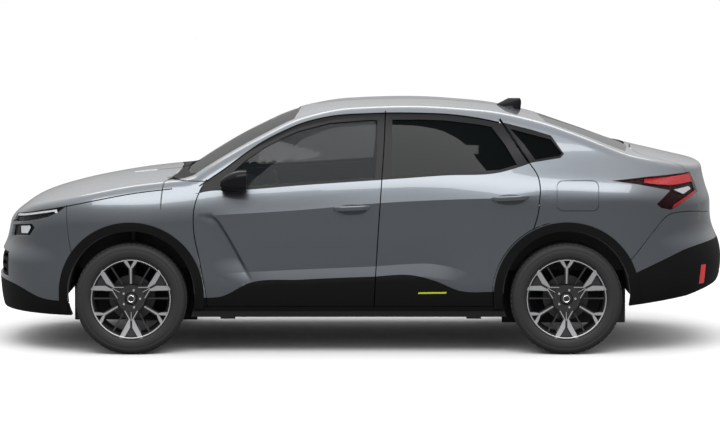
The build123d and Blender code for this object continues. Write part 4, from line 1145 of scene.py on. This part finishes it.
def rimBin():
    w, radius = wheel, wheel["radius"]
    bin = MeshBin()
    black, bright, disc = 0, 1, 2
    seg = w["segments"]
    revolve(bin, [(246, 84), (246, 70), (238, 60), (226, 50), (219, 10), (219, -60), (238, -72),
                  (246, -80)], black, seg)
    revolve(bin, [(246, 84), (244.5, 87), (240, 87.5), (237.5, 85), (236, 76), (238, 60)], bright, seg)
    revolve(bin, [(236, 78), (228, 70), (222, 52)], black, seg)
    revolve(bin, [(0.1, 44), (radius * 0.34, 44), (radius * 0.36, 48), (radius * 0.345, 60),
                  (radius * 0.16, 57), (radius * 0.14, 50), (radius * 0.13, 50), (radius * 0.125, 64),
                  (radius * 0.11, 67.5), (0.1, 68.5)],
            black, 60)
    revolve(bin, [(radius * 0.088, 68.6), (radius * 0.08, 70), (radius * 0.072, 68.8)], bright, 60)
    revolve(bin, [(34, -23), (w["disc"], -23), (w["disc"], -7), (70, -7), (69, 38), (34, 40)], disc, 60,
            closed=True)
    for turn in w["yTurns"]:
        for flip in (1, -1):
            spoke(bin, w["arm"], turn, flip, w["faceLift"], 0, 8, bright, black)
            spoke(bin, w["arm"], turn, flip, 0, 0.02, w["thick"], black, black)
        spoke(bin, w["stem"], turn, 1, w["faceLift"] - 0.2, 0, 8, bright, black)
        spoke(bin, w["stem"], turn, 1, 0, 0.03, w["thick"], black, black)
    for turn in w["barTurns"]:
        for flip in (1, -1):
            spoke(bin, w["bar"], turn, flip, w["faceLift"], 0, 8, bright, black)
            spoke(bin, w["bar"], turn, flip, 0, 0.018, w["thick"], black, black)
            spoke(bin, w["line"], turn, flip, w["faceLift"] - 0.2, 0, 8, bright, black)
            spoke(bin, w["line"], turn, flip, 0, 0.03, w["thick"], black, black)
        spoke(bin, w["seam"], turn, 1, w["faceLift"] - 0.4, 0, 6, bright, black)
        spoke(bin, w["web"], turn, 1, -9, 0, 12, black, black)
    for turn in w["yTurns"]:
        for finTurn in w["finTurns"]:
            spoke(bin, w["fin"], turn + finTurn, 1, -8, 0, 20, black, black)
    return bin


tyre = {
    "segments": 120, "blocks": 64, "blockSize": (26, 22), "blockRows": (-66, -40, -13, 13, 40, 66),
    "treadRadius": 336.4, "edgeRow": 60, "edgeTall": 5.2, "midTall": 6.4,
    "side": [(243, 70), (247, 82), (254, 90), (262, 93.5), (264, 95.2), (270, 95.4), (272, 96.2), (288, 97.2),
             (300, 97.4), (302, 96.4), (306, 96.4), (308, 97.0), (318, 94.5), (327, 89.5), (333, 83), (336, 77),
             (336.4, 70)],
}


def tyreBin():
    bin = MeshBin()
    profile = tyre["side"] + [(336.6, 40), (336.8, 0)]
    profile += [(r, -d) for r, d in reversed(profile[:-1])]
    profile += [(232, -66), (228, 0), (232, 66)]
    revolve(bin, profile, 0, tyre["segments"], closed=True)
    return bin


# A ring of like things about the wheel's axle: bolts on the hub and blocks on the tread
def ringTree(name):
    tree = bpy.data.node_groups.new(name, "GeometryNodeTree")
    kinds = {"Geometry": "Geometry", "Count": "Int", "Radius": "Float", "Offset": "Float", "Phase": "Float",
             "Material": "Material"}
    for title, kind in kinds.items():
        tree.interface.new_socket(title, in_out="INPUT", socket_type="NodeSocket" + kind)
    tree.interface.new_socket("Geometry", in_out="OUTPUT", socket_type="NodeSocketGeometry")
    nodes, links = tree.nodes, tree.links
    source, result = nodes.new("NodeGroupInput"), nodes.new("NodeGroupOutput")
    line = nodes.new("GeometryNodeMeshLine")
    line.mode = "OFFSET"
    line.inputs["Offset"].default_value = (0, 0, 0)
    links.new(source.outputs["Count"], line.inputs["Count"])
    index = nodes.new("GeometryNodeInputIndex")
    share = nodes.new("ShaderNodeMath")
    share.operation = "DIVIDE"
    links.new(index.outputs[0], share.inputs[0])
    links.new(source.outputs["Count"], share.inputs[1])
    angle = nodes.new("ShaderNodeMath")
    angle.operation = "MULTIPLY_ADD"
    angle.inputs[1].default_value = 2 * math.pi
    links.new(share.outputs[0], angle.inputs[0])
    links.new(source.outputs["Phase"], angle.inputs[2])
    turn = nodes.new("ShaderNodeCombineXYZ")
    links.new(angle.outputs[0], turn.inputs["Y"])
    reach = nodes.new("ShaderNodeCombineXYZ")
    links.new(source.outputs["Offset"], reach.inputs["Y"])
    links.new(source.outputs["Radius"], reach.inputs["Z"])
    swing = nodes.new("ShaderNodeVectorRotate")
    swing.rotation_type = "EULER_XYZ"
    links.new(reach.outputs[0], swing.inputs["Vector"])
    links.new(turn.outputs[0], swing.inputs["Rotation"])
    move = nodes.new("GeometryNodeSetPosition")
    links.new(line.outputs["Mesh"], move.inputs["Geometry"])
    links.new(swing.outputs[0], move.inputs["Position"])
    copies = nodes.new("GeometryNodeInstanceOnPoints")
    links.new(move.outputs["Geometry"], copies.inputs["Points"])
    links.new(source.outputs["Geometry"], copies.inputs["Instance"])
    links.new(turn.outputs[0], copies.inputs["Rotation"])
    real = nodes.new("GeometryNodeRealizeInstances")
    links.new(copies.outputs["Instances"], real.inputs["Geometry"])
    paint = nodes.new("GeometryNodeSetMaterial")
    links.new(real.outputs["Geometry"], paint.inputs["Geometry"])
    links.new(source.outputs["Material"], paint.inputs["Material"])
    links.new(paint.outputs["Geometry"], result.inputs["Geometry"])
    return tree


def ringOf(name, bin, tree, mat, count, radius, offset, phase=0.0):
    seed = bin.piece(name, [mat])
    mod = seed.modifiers.new("ring", "NODES")
    mod.node_group = tree
    values = {"Count": count, "Radius": radius * mm, "Offset": offset * mm, "Phase": phase, "Material": mat}
    for item in tree.interface.items_tree:
        if item.in_out == "INPUT" and item.name in values:
            mod[item.identifier] = values[item.name]
    applyModifiers(seed)
    return seed


def boltBin():
    bin = MeshBin()
    size = wheel["boltSize"]
    ring = [(size * math.cos(t), size * math.sin(t)) for t in np.linspace(0, 2 * math.pi, 6, endpoint=False)]
    points = [(x, 0, z) for x, z in ring] + [(x, 12, z) for x, z in ring]
    points += [(x * 0.8, 15, z * 0.8) for x, z in ring]
    faces = []
    for row in (0, 6):
        faces += [(row + i, row + (i + 1) % 6, row + 6 + (i + 1) % 6, row + 6 + i) for i in range(6)]
    faces.append(tuple(range(12, 18)))
    bin.add(points, faces, 0)
    return bin


def blockBin(tall):
    bin = MeshBin()
    a, b = tyre["blockSize"][0] / 2, tyre["blockSize"][1] / 2
    skew = 5
    base = [(-a, -b), (a, -b), (a, b), (-a, b)]
    points = [(x + (skew if y > 0 else -skew), y, -2) for x, y in base]
    points += [(x * 0.94 + (skew if y > 0 else -skew), y * 0.94, tall) for x, y in base]
    faces = [(0, 1, 5, 4), (1, 2, 6, 5), (2, 3, 7, 6), (3, 0, 4, 7), (4, 5, 6, 7)]
    bin.add(points, faces, 0)
    return bin


def joinPieces(name, pieces):
    bpy.ops.object.select_all(action="DESELECT")
    for piece in pieces:
        piece.select_set(True)
    bpy.context.view_layer.objects.active = pieces[0]
    bpy.ops.object.join()
    pieces[0].name = name
    pieces[0].data.name = name
    return pieces[0]


def setAt(piece, centre, sign):
    p = meshPoints(piece)
    p[:, 1] *= sign
    p += np.array(centre) * mm
    piece.data.vertices.foreach_set("co", p.ravel())
    if sign < 0:
        piece.data.flip_normals()
    piece.data.update()


def buildWheels():
    tree = ringTree("ringAboutAxle")
    rimMats = [finish("wheelBlack"), finish("machined"), finish("brakeDisc")]
    rimMaster = rimBin().piece("rimMaster", rimMats)
    bolts = ringOf("bolts", boltBin(), tree, finish("chrome"), wheel["bolts"],
                   wheel["boltRadius"] * wheel["radius"], wheel["boltDepth"], wheel["boltPhase"])
    rimMaster = joinPieces("rimMaster", [rimMaster, bolts])
    rubber = finish("rubber")
    tyreMaster = tyreBin().piece("tyreMaster", [rubber], angle=40)
    rows = []
    for k, offset in enumerate(tyre["blockRows"]):
        tall = tyre["edgeTall"] if abs(offset) > tyre["edgeRow"] else tyre["midTall"]
        rows.append(ringOf(f"tread{k}", blockBin(tall), tree, rubber, tyre["blocks"], tyre["treadRadius"],
                           offset, 0.05 * k))
    tyreMaster = joinPieces("tyreMaster", [tyreMaster] + rows)
    for end, x in axles.items():
        for side, sign in sideSigns.items():
            for master, node, slotName in ((rimMaster, "rim", "alloy"), (tyreMaster, "tyre", "tyre_rubber")):
                name = f"{node}{end.capitalize()}{side.capitalize()}"
                piece = cloneOf(master, name)
                piece.data.name = name
                setAt(piece, (x, sign * wheel["track"], wheel["height"]), sign)
                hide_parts(f"{node}_{end}_{side}")
                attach(piece, f"wheel_{end}_{side}")
    dropPiece(rimMaster)
    dropPiece(tyreMaster)
    print("wheels done")


buildWheels()
buildHandles()
finPiece = finBin().piece("sharkFin", [finish("glossBlack")], angle=50)
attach(finPiece, "body")
print("handles and fin done")

# Camera at the photograph's place, plain floor and soft studio light
shot = {"place": (-0.003, -16.967, 2.45), "pitch": 5.75, "focalPixels": 2651, "frameWidth": 720, "sensor": 36}
studio = {"floorToCamera": 0.7, "floorToCar": 0.22, "horizon": 0.4, "zenith": 2.0,
          "boxes": {"softBox": ((0, -4.5, 5.2), (8, 2.6), 300), "backBox": ((0, 4.5, 6), (8, 2.6), 160)}}


def seenBy(tree, socket, toCamera, toOthers):
    nodes, links = tree.nodes, tree.links
    path = nodes.new("ShaderNodeLightPath")
    mix = nodes.new("ShaderNodeMix")
    links.new(path.outputs["Is Camera Ray"], mix.inputs[0])
    for index, value in ((2, toOthers), (3, toCamera)):
        if isinstance(value, (int, float)):
            mix.inputs[index].default_value = value
        else:
            links.new(value, mix.inputs[index])
    links.new(mix.outputs[0], socket)


def stageScene():
    scene = bpy.context.scene
    scene.view_settings.view_transform = "Standard"
    eye = bpy.data.cameras.new("shotCamera")
    eye.sensor_width = shot["sensor"]
    eye.lens = shot["focalPixels"] / shot["frameWidth"] * shot["sensor"]
    eye.clip_end = 200
    camera = bpy.data.objects.new("shotCamera", eye)
    camera.location = shot["place"]
    camera.rotation_euler = (math.radians(90 - shot["pitch"]), 0, 0)
    scene.collection.objects.link(camera)
    scene.camera = camera
    mesh = bpy.data.meshes.new("studioFloor")
    reach = 60
    corners = [(-reach, -reach, 0), (reach, -reach, 0), (reach, reach, 0), (-reach, reach, 0)]
    mesh.from_pydata(corners, [], [(0, 1, 2, 3)])
    floor = bpy.data.objects.new("studioFloor", mesh)
    scene.collection.objects.link(floor)
    mat = bpy.data.materials.new("paleFloor")
    mat.use_nodes = True
    shader = mat.node_tree.nodes["Principled BSDF"]
    seenBy(mat.node_tree, shader.inputs["Base Color"], studio["floorToCamera"], studio["floorToCar"])
    shader.inputs["Roughness"].default_value = 0.9
    shader.inputs["Specular IOR Level"].default_value = 0
    mesh.materials.append(mat)
    world = bpy.data.worlds.new("studio")
    scene.world = world
    world.use_nodes = True
    nodes, links = world.node_tree.nodes, world.node_tree.links
    background = nodes["Background"]
    place = nodes.new("ShaderNodeTexCoord")
    split = nodes.new("ShaderNodeSeparateXYZ")
    ramp = nodes.new("ShaderNodeMapRange")
    ramp.inputs["To Min"].default_value = studio["horizon"]
    ramp.inputs["To Max"].default_value = studio["zenith"]
    links.new(place.outputs["Generated"], split.inputs[0])
    links.new(split.outputs["Z"], ramp.inputs["Value"])
    seenBy(world.node_tree, background.inputs["Color"], 1.0, ramp.outputs[0])
    for name, (place, size, power) in studio["boxes"].items():
        lamp = bpy.data.lights.new(name, "AREA")
        lamp.shape = "RECTANGLE"
        lamp.size, lamp.size_y = size
        lamp.energy = power
        lampObject = bpy.data.objects.new(name, lamp)
        lampObject.location = place
        lampObject.rotation_euler = (Vector((0, 0, 0.6)) - Vector(place)).to_track_quat("-Z", "Y").to_euler()
        scene.collection.objects.link(lampObject)


stageScene()
dropPiece(paneShell)
